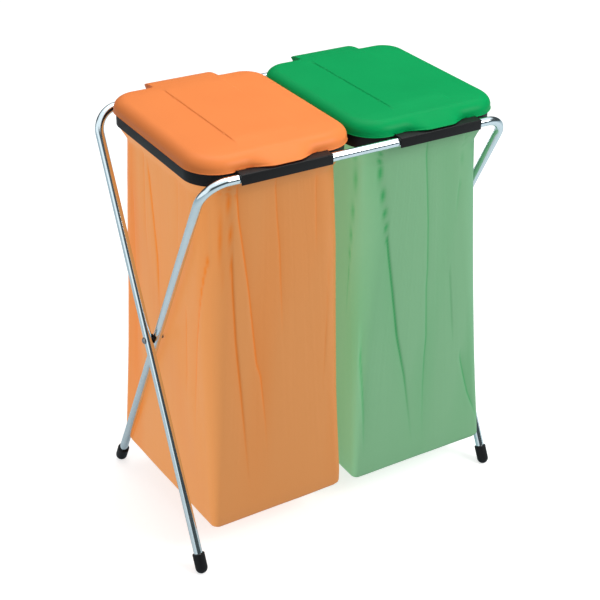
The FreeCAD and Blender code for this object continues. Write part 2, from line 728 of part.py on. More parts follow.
# A film bag: an open shell that hangs from its ring in gathers to a flat, nearly square bottom
def bag_levels(inset):
    """Height, half width, half length, corner and depth of the folds, from the mouth down."""
    bar = value("bar_height")
    mouth = [value("inner_half_width - seat_clearance"), value("inner_half_length - seat_clearance")]
    mouth_corner = value("ring_corner - ring_wall - seat_clearance")
    neck = [value("neck_half_width"), value("neck_half_length")]
    base = [value("base_half_width"), value("base_half_length")]
    folds = value("bag_fold_depth")
    corner = value("bag_base_corner")
    bottom = value("bag_bottom_height") + inset
    middle = (neck[0] + base[0]) / 2, (neck[1] + base[1]) / 2
    levels = [
        (bar + value("ring_rise - seat_clearance") + inset, *mouth, mouth_corner, 0.0),
        (bar - value("ring_drop"), *mouth, mouth_corner, 0.0),
        (bar - value("bag_neck_drop"), *neck, mouth_corner, folds),
        ((bar + bottom) / 2, *middle, 2.5 * corner, folds),
        (bottom + 2 * corner, *base, corner, folds / 2),
        (bottom + corner / 4, base[0] - corner / 8, base[1] - corner / 8, corner, folds / 4),
        (bottom, base[0] - corner / 2, base[1] - corner / 2, corner, 0.0),
    ]
    return [(z, a - inset, b - inset, max(r - inset, 1.0), depth) for z, a, b, r, depth in levels]


def wavy_outline(height, half_width, half_length, corner, depth):
    """A closed curve round a rounded rectangle, dented inwards by uneven folds."""
    straight = [2 * (half_width - corner), 2 * (half_length - corner)]
    quarter = corner * math.pi / 2
    around = 2 * sum(straight) + 4 * quarter
    count = round(FOLDS_ROUND_BAG * POINTS_A_FOLD)
    points = []
    for number in range(count):
        way = around * number / count
        x, y, normal = on_rounded_rectangle(way, half_width, half_length, corner)
        turn = 2 * math.pi * number / POINTS_A_FOLD
        fold = number // POINTS_A_FOLD
        dent = depth * (0.6 + 0.4 * math.sin(2.4 * fold)) * (1 - math.cos(turn)) / 2
        points.append(FreeCAD.Vector(x - dent * math.cos(normal), y - dent * math.sin(normal), height))
    curve = Part.BSplineCurve()
    curve.interpolate(Points=points, PeriodicFlag=True)
    return Part.Wire([curve.toShape()])


def on_rounded_rectangle(way, half_width, half_length, corner):
    """The point a given way round the outline from its right side, and the direction out of it."""
    legs = [half_length - corner, half_width - corner] * 2
    for side, half in enumerate(legs):
        out = side * math.pi / 2
        reach = half_width if side % 2 == 0 else half_length
        if way <= 2 * half:
            along = way - half
            x = reach * math.cos(out) - along * math.sin(out)
            y = reach * math.sin(out) + along * math.cos(out)
            return x, y, out
        way -= 2 * half
        turn = way / corner
        if turn <= math.pi / 2:
            centre_x = (reach - corner) * math.cos(out) - half * math.sin(out)
            centre_y = (reach - corner) * math.sin(out) + half * math.cos(out)
            angle = out + turn
            return centre_x + corner * math.cos(angle), centre_y + corner * math.sin(angle), angle
        way -= corner * math.pi / 2
    return half_width, -half, 0.0


def make_film_bag(side, sign):
    label = f"film_bag_{side}"
    bag = doc.addObject("Part::Feature", label)
    bag.Label = label
    walls = []
    for inset in (0.0, value("film_thickness")):
        walls.append(Part.makeLoft([wavy_outline(*level) for level in bag_levels(inset)], True, True))
    bag.Shape = walls[0].cut(walls[1])
    put(bag, x=f"{sign} * ring_offset")
    return bag


parts = [
    make_bar_frame("front_bar_frame", "inner_leg_offset", "-bar_reach", "front_bar_tilt"),
    make_bar_frame("rear_bar_frame", "outer_leg_offset", "bar_reach", "rear_bar_tilt"),
]
for side, sign in SIDES:
    outer_leg, inner_leg = f"{sign} * outer_leg_offset", f"{sign} * inner_leg_offset"
    parts.append(make_foot_cap(f"foot_cap_front_{side}", outer_leg, "-foot_reach", "-leg_lean"))
    parts.append(make_foot_cap(f"foot_cap_rear_{side}", inner_leg, "foot_reach", "leg_lean"))
    parts.append(make_pivot_rivet(side, sign))
    parts.append(make_pivot_spacer(side, sign))
    parts.append(make_bag_ring(side, sign))
    parts.append(make_bag_hoop(side, sign))
    parts.append(make_lid(side, sign))
    parts.append(make_hinge_pin(side, sign))
    parts.append(make_film_bag(side, sign))
doc.recompute()

# Nothing is written unless every object and every solid is sound
for thing in doc.Objects:
    if "Invalid" in thing.State or "Error" in thing.State:
        raise RuntimeError(f"{thing.Label} could not be worked out: {thing.State}")
for part in parts:
    if part.Shape.isNull() or not part.Shape.isValid():
        raise RuntimeError(f"{part.Label} has no sound shape")

os.makedirs("parts", exist_ok=True)
for part in parts:
    part.Shape.exportStep(f"parts/{part.Label}.step")
    print(part.Label, len(part.Shape.Solids), round(part.Shape.Volume / 1000, 2), "cm3")
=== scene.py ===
import bmesh
import bpy
import math
from mathutils import Matrix, Vector, noise


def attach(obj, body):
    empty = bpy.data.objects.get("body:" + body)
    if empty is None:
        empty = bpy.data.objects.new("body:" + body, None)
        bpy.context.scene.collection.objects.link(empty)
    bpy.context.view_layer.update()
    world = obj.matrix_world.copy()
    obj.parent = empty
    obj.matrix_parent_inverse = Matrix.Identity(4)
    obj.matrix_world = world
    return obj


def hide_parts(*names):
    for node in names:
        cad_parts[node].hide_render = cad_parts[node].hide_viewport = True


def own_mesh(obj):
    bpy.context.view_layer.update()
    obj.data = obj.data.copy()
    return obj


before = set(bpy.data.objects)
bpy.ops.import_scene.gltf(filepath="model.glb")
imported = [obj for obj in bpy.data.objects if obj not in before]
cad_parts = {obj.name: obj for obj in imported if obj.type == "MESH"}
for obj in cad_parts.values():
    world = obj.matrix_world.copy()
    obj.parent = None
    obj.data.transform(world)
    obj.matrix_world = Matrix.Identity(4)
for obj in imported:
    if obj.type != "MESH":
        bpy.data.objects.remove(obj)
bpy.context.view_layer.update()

# The picture
# A folding stand photographed from its front left corner, a little above the lids,
# in a white studio with the main light at the front right.
IMAGE_SIDE = 600
FOCAL_PIXELS = 1343.6
OPTICAL_CENTRE = (338.9, 218.2)
CAMERA_PLACE = Vector((-1.3185, -2.1240, 1.8693))
CAMERA_YAW, CAMERA_PITCH, CAMERA_ROLL = (math.radians(angle) for angle in (33.51, 26.50, 1.83))


def aim_camera():
    """The camera at the photograph's place, with its lens and its off-centre crop."""
    level = math.cos(CAMERA_PITCH)
    forward = Vector((math.sin(CAMERA_YAW) * level, math.cos(CAMERA_YAW) * level, -math.sin(CAMERA_PITCH)))
    right = Vector((math.cos(CAMERA_YAW), -math.sin(CAMERA_YAW), 0))
    up = right.cross(forward)
    across = right * math.cos(CAMERA_ROLL) + up * math.sin(CAMERA_ROLL)
    upright = up * math.cos(CAMERA_ROLL) - right * math.sin(CAMERA_ROLL)
    camera = bpy.data.objects.new("camera", bpy.data.cameras.new("camera"))
    bpy.context.scene.collection.objects.link(camera)
    turn = Matrix((across, upright, -forward)).transposed().to_4x4()
    camera.matrix_world = Matrix.Translation(CAMERA_PLACE) @ turn
    camera.data.sensor_width = 36
    camera.data.lens = FOCAL_PIXELS / IMAGE_SIDE * camera.data.sensor_width
    camera.data.shift_x = 0.5 - OPTICAL_CENTRE[0] / IMAGE_SIDE
    camera.data.shift_y = OPTICAL_CENTRE[1] / IMAGE_SIDE - 0.5
    bpy.context.scene.camera = camera


def add_lamp(name, place, target, size, watts):
    """A soft box that faces a point of the stand."""
    light = bpy.data.lights.new(name, "AREA")
    light.shape = "RECTANGLE"
    light.size, light.size_y = size
    light.energy = watts
    lamp = bpy.data.objects.new(name, light)
    bpy.context.scene.collection.objects.link(lamp)
    way = Vector(target) - Vector(place)
    lamp.matrix_world = Matrix.Translation(place) @ way.to_track_quat("-Z", "Y").to_matrix().to_4x4()
    return lamp


def new_material(name):
    """A material with one Principled shader, and the nodes and links of its tree."""
    material = bpy.data.materials.new(name)
    material.use_nodes = True
    tree = material.node_tree
    return material, tree, tree.nodes["Principled BSDF"]


def add_mix(tree, share, low, high):
    """Two colours mixed by a share, each a socket or four numbers."""
    mix = tree.nodes.new("ShaderNodeMix")
    mix.data_type = "RGBA"
    tree.links.new(share, mix.inputs["Factor"])
    for label, colour in ((6, low), (7, high)):
        if isinstance(colour, bpy.types.NodeSocket):
            tree.links.new(colour, mix.inputs[label])
        else:
            mix.inputs[label].default_value = colour
    return mix.outputs[2]


def make_floor():
    """A wide pale floor that keeps a soft shadow and otherwise looks like the white backdrop."""
    reach = 14.0
    mesh = bpy.data.meshes.new("floor")
    corners = [(-reach, -reach, 0), (reach, -reach, 0), (reach, reach, 0), (-reach, reach, 0)]
    mesh.from_pydata(corners, [], [(0, 1, 2, 3)])
    floor = bpy.data.objects.new("floor", mesh)
    bpy.context.scene.collection.objects.link(floor)
    material, tree, shader = new_material("floor_paint")
    shader.inputs["Base Color"].default_value = (0.62, 0.62, 0.62, 1)
    shader.inputs["Roughness"].default_value = 0.9
    shader.inputs["Specular IOR Level"].default_value = 0.0
    shader.inputs["Emission Strength"].default_value = 1.0
    path = tree.nodes.new("ShaderNodeLightPath")
    mirrored = add_mix(tree, path.outputs["Is Glossy Ray"], (0, 0, 0, 1), FLOOR_IN_MIRRORS)
    seen = add_mix(tree, path.outputs["Is Camera Ray"], mirrored, FLOOR_TO_CAMERA)
    tree.links.new(seen, shader.inputs["Emission Color"])
    mesh.materials.append(material)


def light_the_world():
    """Even light from all round, a white backdrop, and a dark studio with soft boxes in mirrors."""
    world = bpy.data.worlds.new("studio")
    world.use_nodes = True
    bpy.context.scene.world = world
    tree = world.node_tree
    way = tree.nodes.new("ShaderNodeSeparateXYZ")
    tree.links.new(tree.nodes.new("ShaderNodeTexCoord").outputs["Generated"], way.inputs[0])
    leftward = tree.nodes.new("ShaderNodeMath")
    leftward.operation = "MULTIPLY"
    leftward.inputs[1].default_value = -0.82
    tree.links.new(way.outputs["X"], leftward.inputs[0])
    lit = tree.nodes.new("ShaderNodeMath")
    lit.operation = "MAXIMUM"
    tree.links.new(leftward.outputs[0], lit.inputs[0])
    tree.links.new(way.outputs["Z"], lit.inputs[1])
    boxes = tree.nodes.new("ShaderNodeValToRGB")
    boxes.color_ramp.elements[0].position, boxes.color_ramp.elements[1].position = 0.50, 0.64
    boxes.color_ramp.elements[0].color = (0.055, 0.07, 0.075, 1)
    boxes.color_ramp.elements[1].color = (1.0, 1.08, 1.12, 1)
    tree.links.new(lit.outputs[0], boxes.inputs["Fac"])
    path = tree.nodes.new("ShaderNodeLightPath")
    seen = tree.nodes.new("ShaderNodeMath")
    seen.operation = "MAXIMUM"
    tree.links.new(path.outputs["Is Camera Ray"], seen.inputs[0])
    tree.links.new(path.outputs["Is Transmission Ray"], seen.inputs[1])
    around = add_mix(tree, path.outputs["Is Glossy Ray"], LIGHT_ALL_ROUND, boxes.outputs["Color"])
    backdrop = add_mix(tree, seen.outputs[0], around, (1, 1, 1, 1))
    tree.links.new(backdrop, tree.nodes["Background"].inputs["Color"])


FLOOR_TO_CAMERA = (0.69, 0.69, 0.69, 1)
FLOOR_IN_MIRRORS = (0.02, 0.12, 0.17, 1)
LIGHT_ALL_ROUND = (0.50, 0.50, 0.50, 1)
aim_camera()
light_the_world()
make_floor()
add_lamp("key", (1.9, -2.6, 2.9), (0.05, 0, 0.6), (1.6, 1.6), 78)
add_lamp("top", (0.3, 0.4, 3.4), (0, 0, 0.8), (2.2, 2.2), 38)
bpy.context.scene.view_settings.view_transform = "Standard"

# The two tube frames
# Each is one length of steel tube, 18 mm across, bent cold into a U and plated bright.
# The inner one has its bar at the front, the outer one at the rear, and their legs cross.
TUBE_RADIUS = 0.009
TUBE_WALL = 0.0012
BEND_RADIUS = 0.050
BAR_HEIGHT = 0.857
BAR_REACH = 0.2125
FOOT_REACH = 0.221
INNER_LEG, OUTER_LEG = 0.3415, 0.3615
TUBE_END_SETBACK = 0.017
SIDES_ROUND_TUBE = 48
STEPS_A_BEND = 24
leg_length = math.hypot(BAR_REACH + FOOT_REACH, BAR_HEIGHT)
leg_run = (BAR_REACH + FOOT_REACH) / leg_length
leg_fall = BAR_HEIGHT / leg_length


def new_piece(name, vertices, faces, sharp_above=40):
    """A mesh object, smooth but for edges that turn by more than an angle in degrees."""
    mesh = bpy.data.meshes.new(name)
    mesh.from_pydata([tuple(vertex) for vertex in vertices], [], faces)
    mesh.shade_smooth()
    mesh.set_sharp_from_angle(angle=math.radians(sharp_above))
    piece = bpy.data.objects.new(name, mesh)
    bpy.context.scene.collection.objects.link(piece)
    return piece


def strips(rows, columns, closed=True):
    """Faces between neighbouring rows of points, each row a closed ring or an open line."""
    faces = []
    for row in range(rows - 1):
        for column in range(columns if closed else columns - 1):
            after = (column + 1) % columns
            near, far = row * columns, (row + 1) * columns
            faces.append((near + column, near + after, far + after, far + column))
    return faces


def frame_line(leg_offset, front_sign):
    """Places and directions along one U, from its left foot over its bar to its right foot."""
    leg_up = Vector((0, front_sign * leg_run, leg_fall))
    line = []
    for side, way in ((-1, 1), (1, -1)):
        corner = Vector((side * leg_offset, front_sign * BAR_REACH, BAR_HEIGHT))
        foot = corner - leg_up * (leg_length - TUBE_END_SETBACK)
        centre = corner - leg_up * BEND_RADIUS - Vector((side * BEND_RADIUS, 0, 0))
        half = [(foot, leg_up)]
        for step in range(STEPS_A_BEND + 1):
            angle = math.pi / 2 * step / STEPS_A_BEND
            out = Vector((side * math.cos(angle), 0, 0)) + leg_up * math.sin(angle)
            along = leg_up * math.cos(angle) - Vector((side * math.sin(angle), 0, 0))
            half.append((centre + out * BEND_RADIUS, along))
        line += half if way > 0 else [(place, -along) for place, along in reversed(half)]
    return line, leg_up.cross(Vector((1, 0, 0)))


def bent_tube(name, leg_offset, front_sign):
    """A pipe with a wall: the outside, and the bore turned back through it."""
    line, normal = frame_line(leg_offset, front_sign)
    vertices = []
    grain = []
    travelled = 0.0
    passes = [(TUBE_RADIUS, line), (TUBE_RADIUS - TUBE_WALL, list(reversed(line)))]
    for radius, stations in passes:
        before = stations[0][0]
        for place, along in stations:
            travelled += (place - before).length
            before = place
            beside = normal.cross(along)
            for number in range(SIDES_ROUND_TUBE):
                angle = 2 * math.pi * number / SIDES_ROUND_TUBE
                out = normal * math.cos(angle) + beside * math.sin(angle)
                vertices.append(place + out * radius)
                grain.append((travelled, radius * math.cos(angle), radius * math.sin(angle)))
    rows = 2 * len(line)
    faces = strips(rows, SIDES_ROUND_TUBE)
    last = (rows - 1) * SIDES_ROUND_TUBE
    for column in range(SIDES_ROUND_TUBE):
        after = (column + 1) % SIDES_ROUND_TUBE
        faces.append((last + column, last + after, after, column))
    piece = new_piece(name, vertices, faces)
    attribute = piece.data.attributes.new("drawn", "FLOAT_VECTOR", "POINT")
    attribute.data.foreach_set("vector", [number for place in grain for number in place])
    return piece


def effect_group(name, inputs, outputs):
    """An empty node group with named inputs and outputs: its tree, and its two end nodes."""
    tree = bpy.data.node_groups.new(name, "ShaderNodeTree")
    for label, kind, start in inputs:
        socket = tree.interface.new_socket(label, in_out="INPUT", socket_type=kind)
        socket.default_value = start
    for label, kind in outputs:
        tree.interface.new_socket(label, in_out="OUTPUT", socket_type=kind)
    return tree, tree.nodes.new("NodeGroupInput"), tree.nodes.new("NodeGroupOutput")


def place_group(tree, group, **values):
    """A group in a material's tree, with its own values."""
    node = tree.nodes.new("ShaderNodeGroup")
    node.node_tree = group
    for label, value in values.items():
        node.inputs[label.replace("_", " ").title()].default_value = value
    return node


def add_noise(tree, vector, scale, detail):
    """A noise texture, with its scale given as a socket or as a number."""
    texture = tree.nodes.new("ShaderNodeTexNoise")
    texture.inputs["Detail"].default_value = detail
    if isinstance(scale, bpy.types.NodeSocket):
        tree.links.new(scale, texture.inputs["Scale"])
    else:
        texture.inputs["Scale"].default_value = scale
    tree.links.new(vector, texture.inputs["Vector"])
    return texture.outputs["Fac"]


def add_range(tree, value, low, high):
    """A value from 0 to 1 spread between two limits, each a socket or a number."""
    spread = tree.nodes.new("ShaderNodeMapRange")
    tree.links.new(value, spread.inputs["Value"])
    for label, limit in (("To Min", low), ("To Max", high)):
        if isinstance(limit, bpy.types.NodeSocket):
            tree.links.new(limit, spread.inputs[label])
        else:
            spread.inputs[label].default_value = limit
    return spread.outputs["Result"]


def add_bump(tree, shader, height, distance):
    """A bump on the shader's normal. Distance is how deep the relief is, in metres."""
    bump = tree.nodes.new("ShaderNodeBump")
    bump.inputs["Strength"].default_value = 1.0
    bump.inputs["Distance"].default_value = distance
    tree.links.new(height, bump.inputs["Height"])
    tree.links.new(bump.outputs["Normal"], shader.inputs["Normal"])


def plated_steel():
    """Bright plating over drawn tube: fine lines along it and a few duller patches."""
    material, tree, shader = new_material("bright_plated_tube")
    shader.inputs["Metallic"].default_value = 1.0
    drawn = tree.nodes.new("ShaderNodeAttribute")
    drawn.attribute_name = "drawn"
    stretch = tree.nodes.new("ShaderNodeMapping")
    stretch.inputs["Scale"].default_value = (4.0, 900.0, 900.0)
    tree.links.new(drawn.outputs["Vector"], stretch.inputs["Vector"])
    lines = add_noise(tree, stretch.outputs["Vector"], 1.0, 3.0)
    patches = add_noise(tree, drawn.outputs["Vector"], 14.0, 2.0)
    colour = add_mix(tree, patches, (0.68, 0.78, 0.82, 1), (0.84, 0.90, 0.92, 1))
    tree.links.new(colour, shader.inputs["Base Color"])
    tree.links.new(add_range(tree, patches, 0.09, 0.20), shader.inputs["Roughness"])
    add_bump(tree, shader, lines, 0.00002)
    return material


bright_plating = plated_steel()
for node, body, leg_offset, front_sign in (
    ("front_bar_frame", "front_frame", INNER_LEG, -1),
    ("rear_bar_frame", "rear_frame", OUTER_LEG, 1),
):
    tube = bent_tube(node + "_tube", leg_offset, front_sign)
    tube.data.materials.append(bright_plating)
    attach(tube, body)
    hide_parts(node)

# The foot caps
# Four black rubber caps, moulded in one piece and pushed over the ends of the legs.
# Each has a round toe with a small worn flat where it stands on the floor.
CAP_RADIUS = 0.0126
CAP_LENGTH = 0.042
CAP_TIP_HEIGHT = 0.0118
CAP_MOUTH_ROUND = 0.0012
CAP_TOE_STEPS = 18
CAP_SIDES = 64


def rounded(outline, radius, steps=6, closed=True):
    """An outline with each corner cut back to an arc. radius is one number, or one for each corner."""
    radii = radius if isinstance(radius, (list, tuple)) else [radius] * len(outline)
    points = []
    for number, corner in enumerate(outline):
        is_end = not closed and number in (0, len(outline) - 1)
        if is_end or radii[number] <= 0:
            points.append(tuple(corner))
            continue
        here = Vector(corner)
        back = Vector(outline[number - 1]) - here
        ahead = Vector(outline[(number + 1) % len(outline)]) - here
        half = back.angle(ahead) / 2
        cut = min(radii[number] / math.tan(half), 0.49 * back.length, 0.49 * ahead.length)
        back.normalize()
        ahead.normalize()
        bow = cut * math.tan(half)
        centre = here + (back + ahead).normalized() * (cut / math.cos(half))
        start = here + back * cut - centre
        sweep = start.angle_signed(here + ahead * cut - centre)
        for step in range(steps + 1):
            turn = Matrix.Rotation(-sweep * step / steps, 2)
            points.append(tuple(centre + (turn @ start).normalized() * bow))
    return points


def turned(name, outline, place, axis, sides=CAP_SIDES):
    """A piece turned about an axis. The outline is a list of ways along the axis and radii."""
    along = Vector(axis).normalized()
    across = along.orthogonal().normalized()
    beside = along.cross(across)
    vertices = []
    for way, radius in outline:
        for number in range(sides):
            angle = 2 * math.pi * number / sides
            out = across * math.cos(angle) + beside * math.sin(angle)
            vertices.append(Vector(place) + along * way + out * max(radius, 0.00001))
    faces = strips(len(outline), sides)
    faces.append(tuple(reversed(range(sides))))
    faces.append(tuple(len(vertices) - sides + number for number in range(sides)))
    return new_piece(name, vertices, faces)


def foot_cap(name, x, foot_sign):
    """A cap along its leg, with its toe cut flat by the floor."""
    leg = Vector((0, -foot_sign * leg_run, leg_fall))
    ball = CAP_TIP_HEIGHT / leg_fall
    mouth = ball - CAP_RADIUS + CAP_LENGTH
    toe = []
    for step in range(CAP_TOE_STEPS):
        angle = math.pi / 2 * step / CAP_TOE_STEPS
        toe.append((ball - CAP_RADIUS * math.cos(angle), CAP_RADIUS * math.sin(angle)))
    inside = TUBE_RADIUS + 0.0001
    wall = [
        (ball, CAP_RADIUS),
        (mouth, CAP_RADIUS + 0.0001),
        (mouth, inside),
        (TUBE_END_SETBACK, inside),
        (TUBE_END_SETBACK, 0.0),
    ]
    outline = toe + rounded(wall, CAP_MOUTH_ROUND, closed=False)
    cap = turned(name, outline, (x, foot_sign * FOOT_REACH, 0), leg)
    work = bmesh.new()
    work.from_mesh(cap.data)
    everything = work.verts[:] + work.edges[:] + work.faces[:]
    cut = bmesh.ops.bisect_plane(
        work, geom=everything, plane_co=(0, 0, 0), plane_no=(0, 0, -1), clear_outer=True
    )
    rim = [part for part in cut["geom_cut"] if isinstance(part, bmesh.types.BMEdge)]
    bmesh.ops.contextual_create(work, geom=rim)
    work.to_mesh(cap.data)
    work.free()
    return cap


def moulded_surface():
    """The fine grain of a mould, and slow changes of tone, for all the plastic pieces."""
    tree, entry, out = effect_group(
        "moulded_surface",
        [("Grain Scale", "NodeSocketFloat", 900.0), ("Tone Scale", "NodeSocketFloat", 9.0)],
        [("Grain", "NodeSocketFloat"), ("Tone", "NodeSocketFloat")],
    )
    place = tree.nodes.new("ShaderNodeTexCoord").outputs["Object"]
    tree.links.new(add_noise(tree, place, entry.outputs["Grain Scale"], 2.0), out.inputs["Grain"])
    tree.links.new(add_noise(tree, place, entry.outputs["Tone Scale"], 3.0), out.inputs["Tone"])
    return tree


moulded = moulded_surface()


def plastic(name, pale, deep, rough, grain_scale, grain_depth, gloss_level=0.16):
    """A moulded plastic or rubber: two close tones, fine grain and an uneven gloss."""
    material, tree, shader = new_material(name)
    surface = place_group(tree, moulded, grain_scale=grain_scale)
    tree.links.new(add_mix(tree, surface.outputs["Tone"], deep, pale), shader.inputs["Base Color"])
    gloss = add_range(tree, surface.outputs["Tone"], rough - 0.06, rough + 0.06)
    tree.links.new(gloss, shader.inputs["Roughness"])
    shader.inputs["Specular IOR Level"].default_value = gloss_level
    add_bump(tree, shader, surface.outputs["Grain"], grain_depth)
    return material


cap_rubber = plastic(
    "cap_rubber", (0.016, 0.016, 0.017, 1), (0.008, 0.008, 0.009, 1), 0.42, 700, 0.00008
)
for side, sign in (("left", -1), ("right", 1)):
    for end, leg_offset, foot_sign, body in (
        ("front", OUTER_LEG, -1, "rear_frame"),
        ("rear", INNER_LEG, 1, "front_frame"),
    ):
        node = f"foot_cap_{end}_{side}"
        cap = foot_cap(node + "_moulding", sign * leg_offset, foot_sign)
        cap.data.materials.append(cap_rubber)
        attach(cap, body)
        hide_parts(node)

# The leg pivots
# A steel rivet with a domed head outside and a flat tail inside passes through both legs
# of a side, and a plastic washer keeps the two tubes apart.
RIVET_RADIUS = 0.003
RIVET_HEAD_RADIUS, RIVET_HEAD_HEIGHT = 0.007, 0.004
RIVET_TAIL_RADIUS, RIVET_TAIL_HEIGHT = 0.005, 0.0026
SPACER_RADIUS = 0.010
SPACER_THICKNESS = 0.0015
SIDE_CLEARANCE = 0.00025
SMALL_EDGE = 0.0004
DOME_STEPS = 10
pivot_height = BAR_HEIGHT * FOOT_REACH / (BAR_REACH + FOOT_REACH)


def pivot_rivet(name, sign):
    seat = OUTER_LEG + TUBE_RADIUS + SIDE_CLEARANCE
    tail = INNER_LEG - TUBE_RADIUS - SIDE_CLEARANCE
    dome_radius = (RIVET_HEAD_RADIUS ** 2 + RIVET_HEAD_HEIGHT ** 2) / (2 * RIVET_HEAD_HEIGHT)
    top = seat + RIVET_HEAD_HEIGHT
    reach = math.asin(RIVET_HEAD_RADIUS / dome_radius)
    dome = []
    for step in range(DOME_STEPS):
        angle = reach * (1 - step / DOME_STEPS)
        dome.append((top - dome_radius * (1 - math.cos(angle)), dome_radius * math.sin(angle)))
    neck = [
        (tail - RIVET_TAIL_HEIGHT, 0.0),
        (tail - RIVET_TAIL_HEIGHT, RIVET_TAIL_RADIUS),
        (tail, RIVET_TAIL_RADIUS),
        (tail, RIVET_RADIUS),
        (seat, RIVET_RADIUS),
        (seat, RIVET_HEAD_RADIUS - SMALL_EDGE),
    ]
    outline = rounded(neck, SMALL_EDGE, steps=3, closed=False) + dome + [(top, 0.0)]
    return turned(name, outline, (0, 0, pivot_height), (sign, 0, 0), sides=40)


def pivot_spacer(name, sign):
    start = INNER_LEG + TUBE_RADIUS + SIDE_CLEARANCE
    outline = [
        (start, RIVET_RADIUS),
        (start, SPACER_RADIUS),
        (start + SPACER_THICKNESS, SPACER_RADIUS),
        (start + SPACER_THICKNESS, RIVET_RADIUS),
    ]
    return turned(name, rounded(outline, SMALL_EDGE, 3, closed=False), (0, 0, pivot_height), (sign, 0, 0), 40)


def dark_steel():
    """Plated rivet steel gone dull, smeared by the setting tool."""
    material, tree, shader = new_material("dull_rivet_steel")
    shader.inputs["Metallic"].default_value = 1.0
    surface = place_group(tree, moulded, grain_scale=1500, tone_scale=220)
    colour = add_mix(tree, surface.outputs["Tone"], (0.16, 0.17, 0.18, 1), (0.42, 0.43, 0.44, 1))
    tree.links.new(colour, shader.inputs["Base Color"])
    tree.links.new(add_range(tree, surface.outputs["Tone"], 0.45, 0.28), shader.inputs["Roughness"])
    add_bump(tree, shader, surface.outputs["Grain"], 0.00003)
    return material


rivet_steel = dark_steel()
black_moulding = plastic(
    "black_moulding", (0.015, 0.015, 0.015, 1), (0.008, 0.008, 0.009, 1), 0.40, 1100, 0.00006
)
for side, sign in (("left", -1), ("right", 1)):
    rivet = pivot_rivet(f"pivot_rivet_{side}_set", sign)
    rivet.data.materials.append(rivet_steel)
    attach(rivet, "rear_frame")
    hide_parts(f"pivot_rivet_{side}")
    spacer = pivot_spacer(f"pivot_spacer_{side}_washer", sign)
    spacer.data.materials.append(black_moulding)
    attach(spacer, "rear_frame")
    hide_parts(f"pivot_spacer_{side}")

# The bag rings
# Two black plastic mouldings. Each is a band round the bag's mouth with a hook that drops over
# the front bar, a clip that snaps round the rear bar and two ears for the lid's pin.
RING_OFFSET = 0.173
RING_HALF = (0.168, 0.196)
FRONT_CORNER, REAR_CORNER = 0.064, 0.052
RING_WALL = 0.0025
RING_LOW, RING_HIGH = BAR_HEIGHT - 0.017, BAR_HEIGHT + 0.013
SLEEVE_HALF = 0.0965
SLEEVE_WALL = 0.0027
HOOK_BORE = TUBE_RADIUS + 0.0003
HOOK_TOP = HOOK_BORE + SLEEVE_WALL
HOOK_DROP = 0.0085
CLIP_BORE = TUBE_RADIUS + 0.00005
CLIP_GAP_HALF = 0.007
PIN_REACH = BAR_REACH + 0.0025
PIN_HEIGHT = BAR_HEIGHT + 0.017
EAR_START, EAR_END = 0.0660, 0.0700
EAR_RADIUS = 0.009
CORNER_STEPS = 24
EDGE_ROUND = 0.0008
ARC_STEPS = 16


def rim_loop(half_width, half_length, narrower, steps=CORNER_STEPS):
    """Points and outward directions round a rounded rectangle, on its four corner arcs."""
    points = []
    for quarter, (x_sign, y_sign) in enumerate([(1, 1), (-1, 1), (-1, -1), (1, -1)]):
        corner = (REAR_CORNER if y_sign > 0 else FRONT_CORNER) - narrower
        for step in range(steps + 1):
            angle = (quarter + step / steps) * math.pi / 2
            out = Vector((math.cos(angle), math.sin(angle), 0))
            middle = Vector((x_sign * (half_width - corner), y_sign * (half_length - corner), 0))
            points.append((middle + out * corner, out))
    return points


def swept_band(section, inset, x_offset):
    """A closed section of ways out and heights, carried round the ring at an inset from its face."""
    loop = rim_loop(RING_HALF[0] - inset, RING_HALF[1] - inset, inset)
    vertices = []
    for way, height in section:
        for point, out in loop:
            vertices.append(point + out * way + Vector((x_offset, 0, height)))
    faces = strips(len(section), len(loop))
    last = (len(section) - 1) * len(loop)
    for column in range(len(loop)):
        after = (column + 1) % len(loop)
        faces.append((last + column, last + after, after, column))
    return vertices, faces


def extruded(outline, start, end, edge=EDGE_ROUND):
    """A profile of Y and Z carried along X, with its two ends rounded off."""
    work = bmesh.new()
    first = [work.verts.new((start, y, z)) for y, z in outline]
    last = [work.verts.new((end, y, z)) for y, z in outline]
    ends = [work.faces.new(first), work.faces.new(list(reversed(last)))]
    for number in range(len(outline)):
        after = (number + 1) % len(outline)
        work.faces.new((first[after], first[number], last[number], last[after]))
    work.normal_update()
    if edge:
        rims = list({rim for face in ends for rim in face.edges})
        bmesh.ops.bevel(
            work, geom=rims, offset=edge, segments=3, profile=0.5, affect="EDGES", clamp_overlap=True
        )
    bmesh.ops.recalc_face_normals(work, faces=work.faces)
    work.verts.index_update()
    vertices = [vertex.co.copy() for vertex in work.verts]
    faces = [tuple(vertex.index for vertex in face.verts) for face in work.faces]
    work.free()
    return vertices, faces


def arc(centre, radius, start, end, steps=ARC_STEPS):
    """Points on an arc between two angles in degrees."""
    points = []
    for step in range(steps + 1):
        angle = math.radians(start + (end - start) * step / steps)
        points.append((centre[0] + radius * math.cos(angle), centre[1] + radius * math.sin(angle)))
    return points


def gathered(shapes):
    """Several shapes as the vertices and faces of one piece."""
    vertices = []
    faces = []
    for shape_vertices, shape_faces in shapes:
        start = len(vertices)
        vertices += shape_vertices
        faces += [tuple(index + start for index in face) for face in shape_faces]
    return vertices, faces


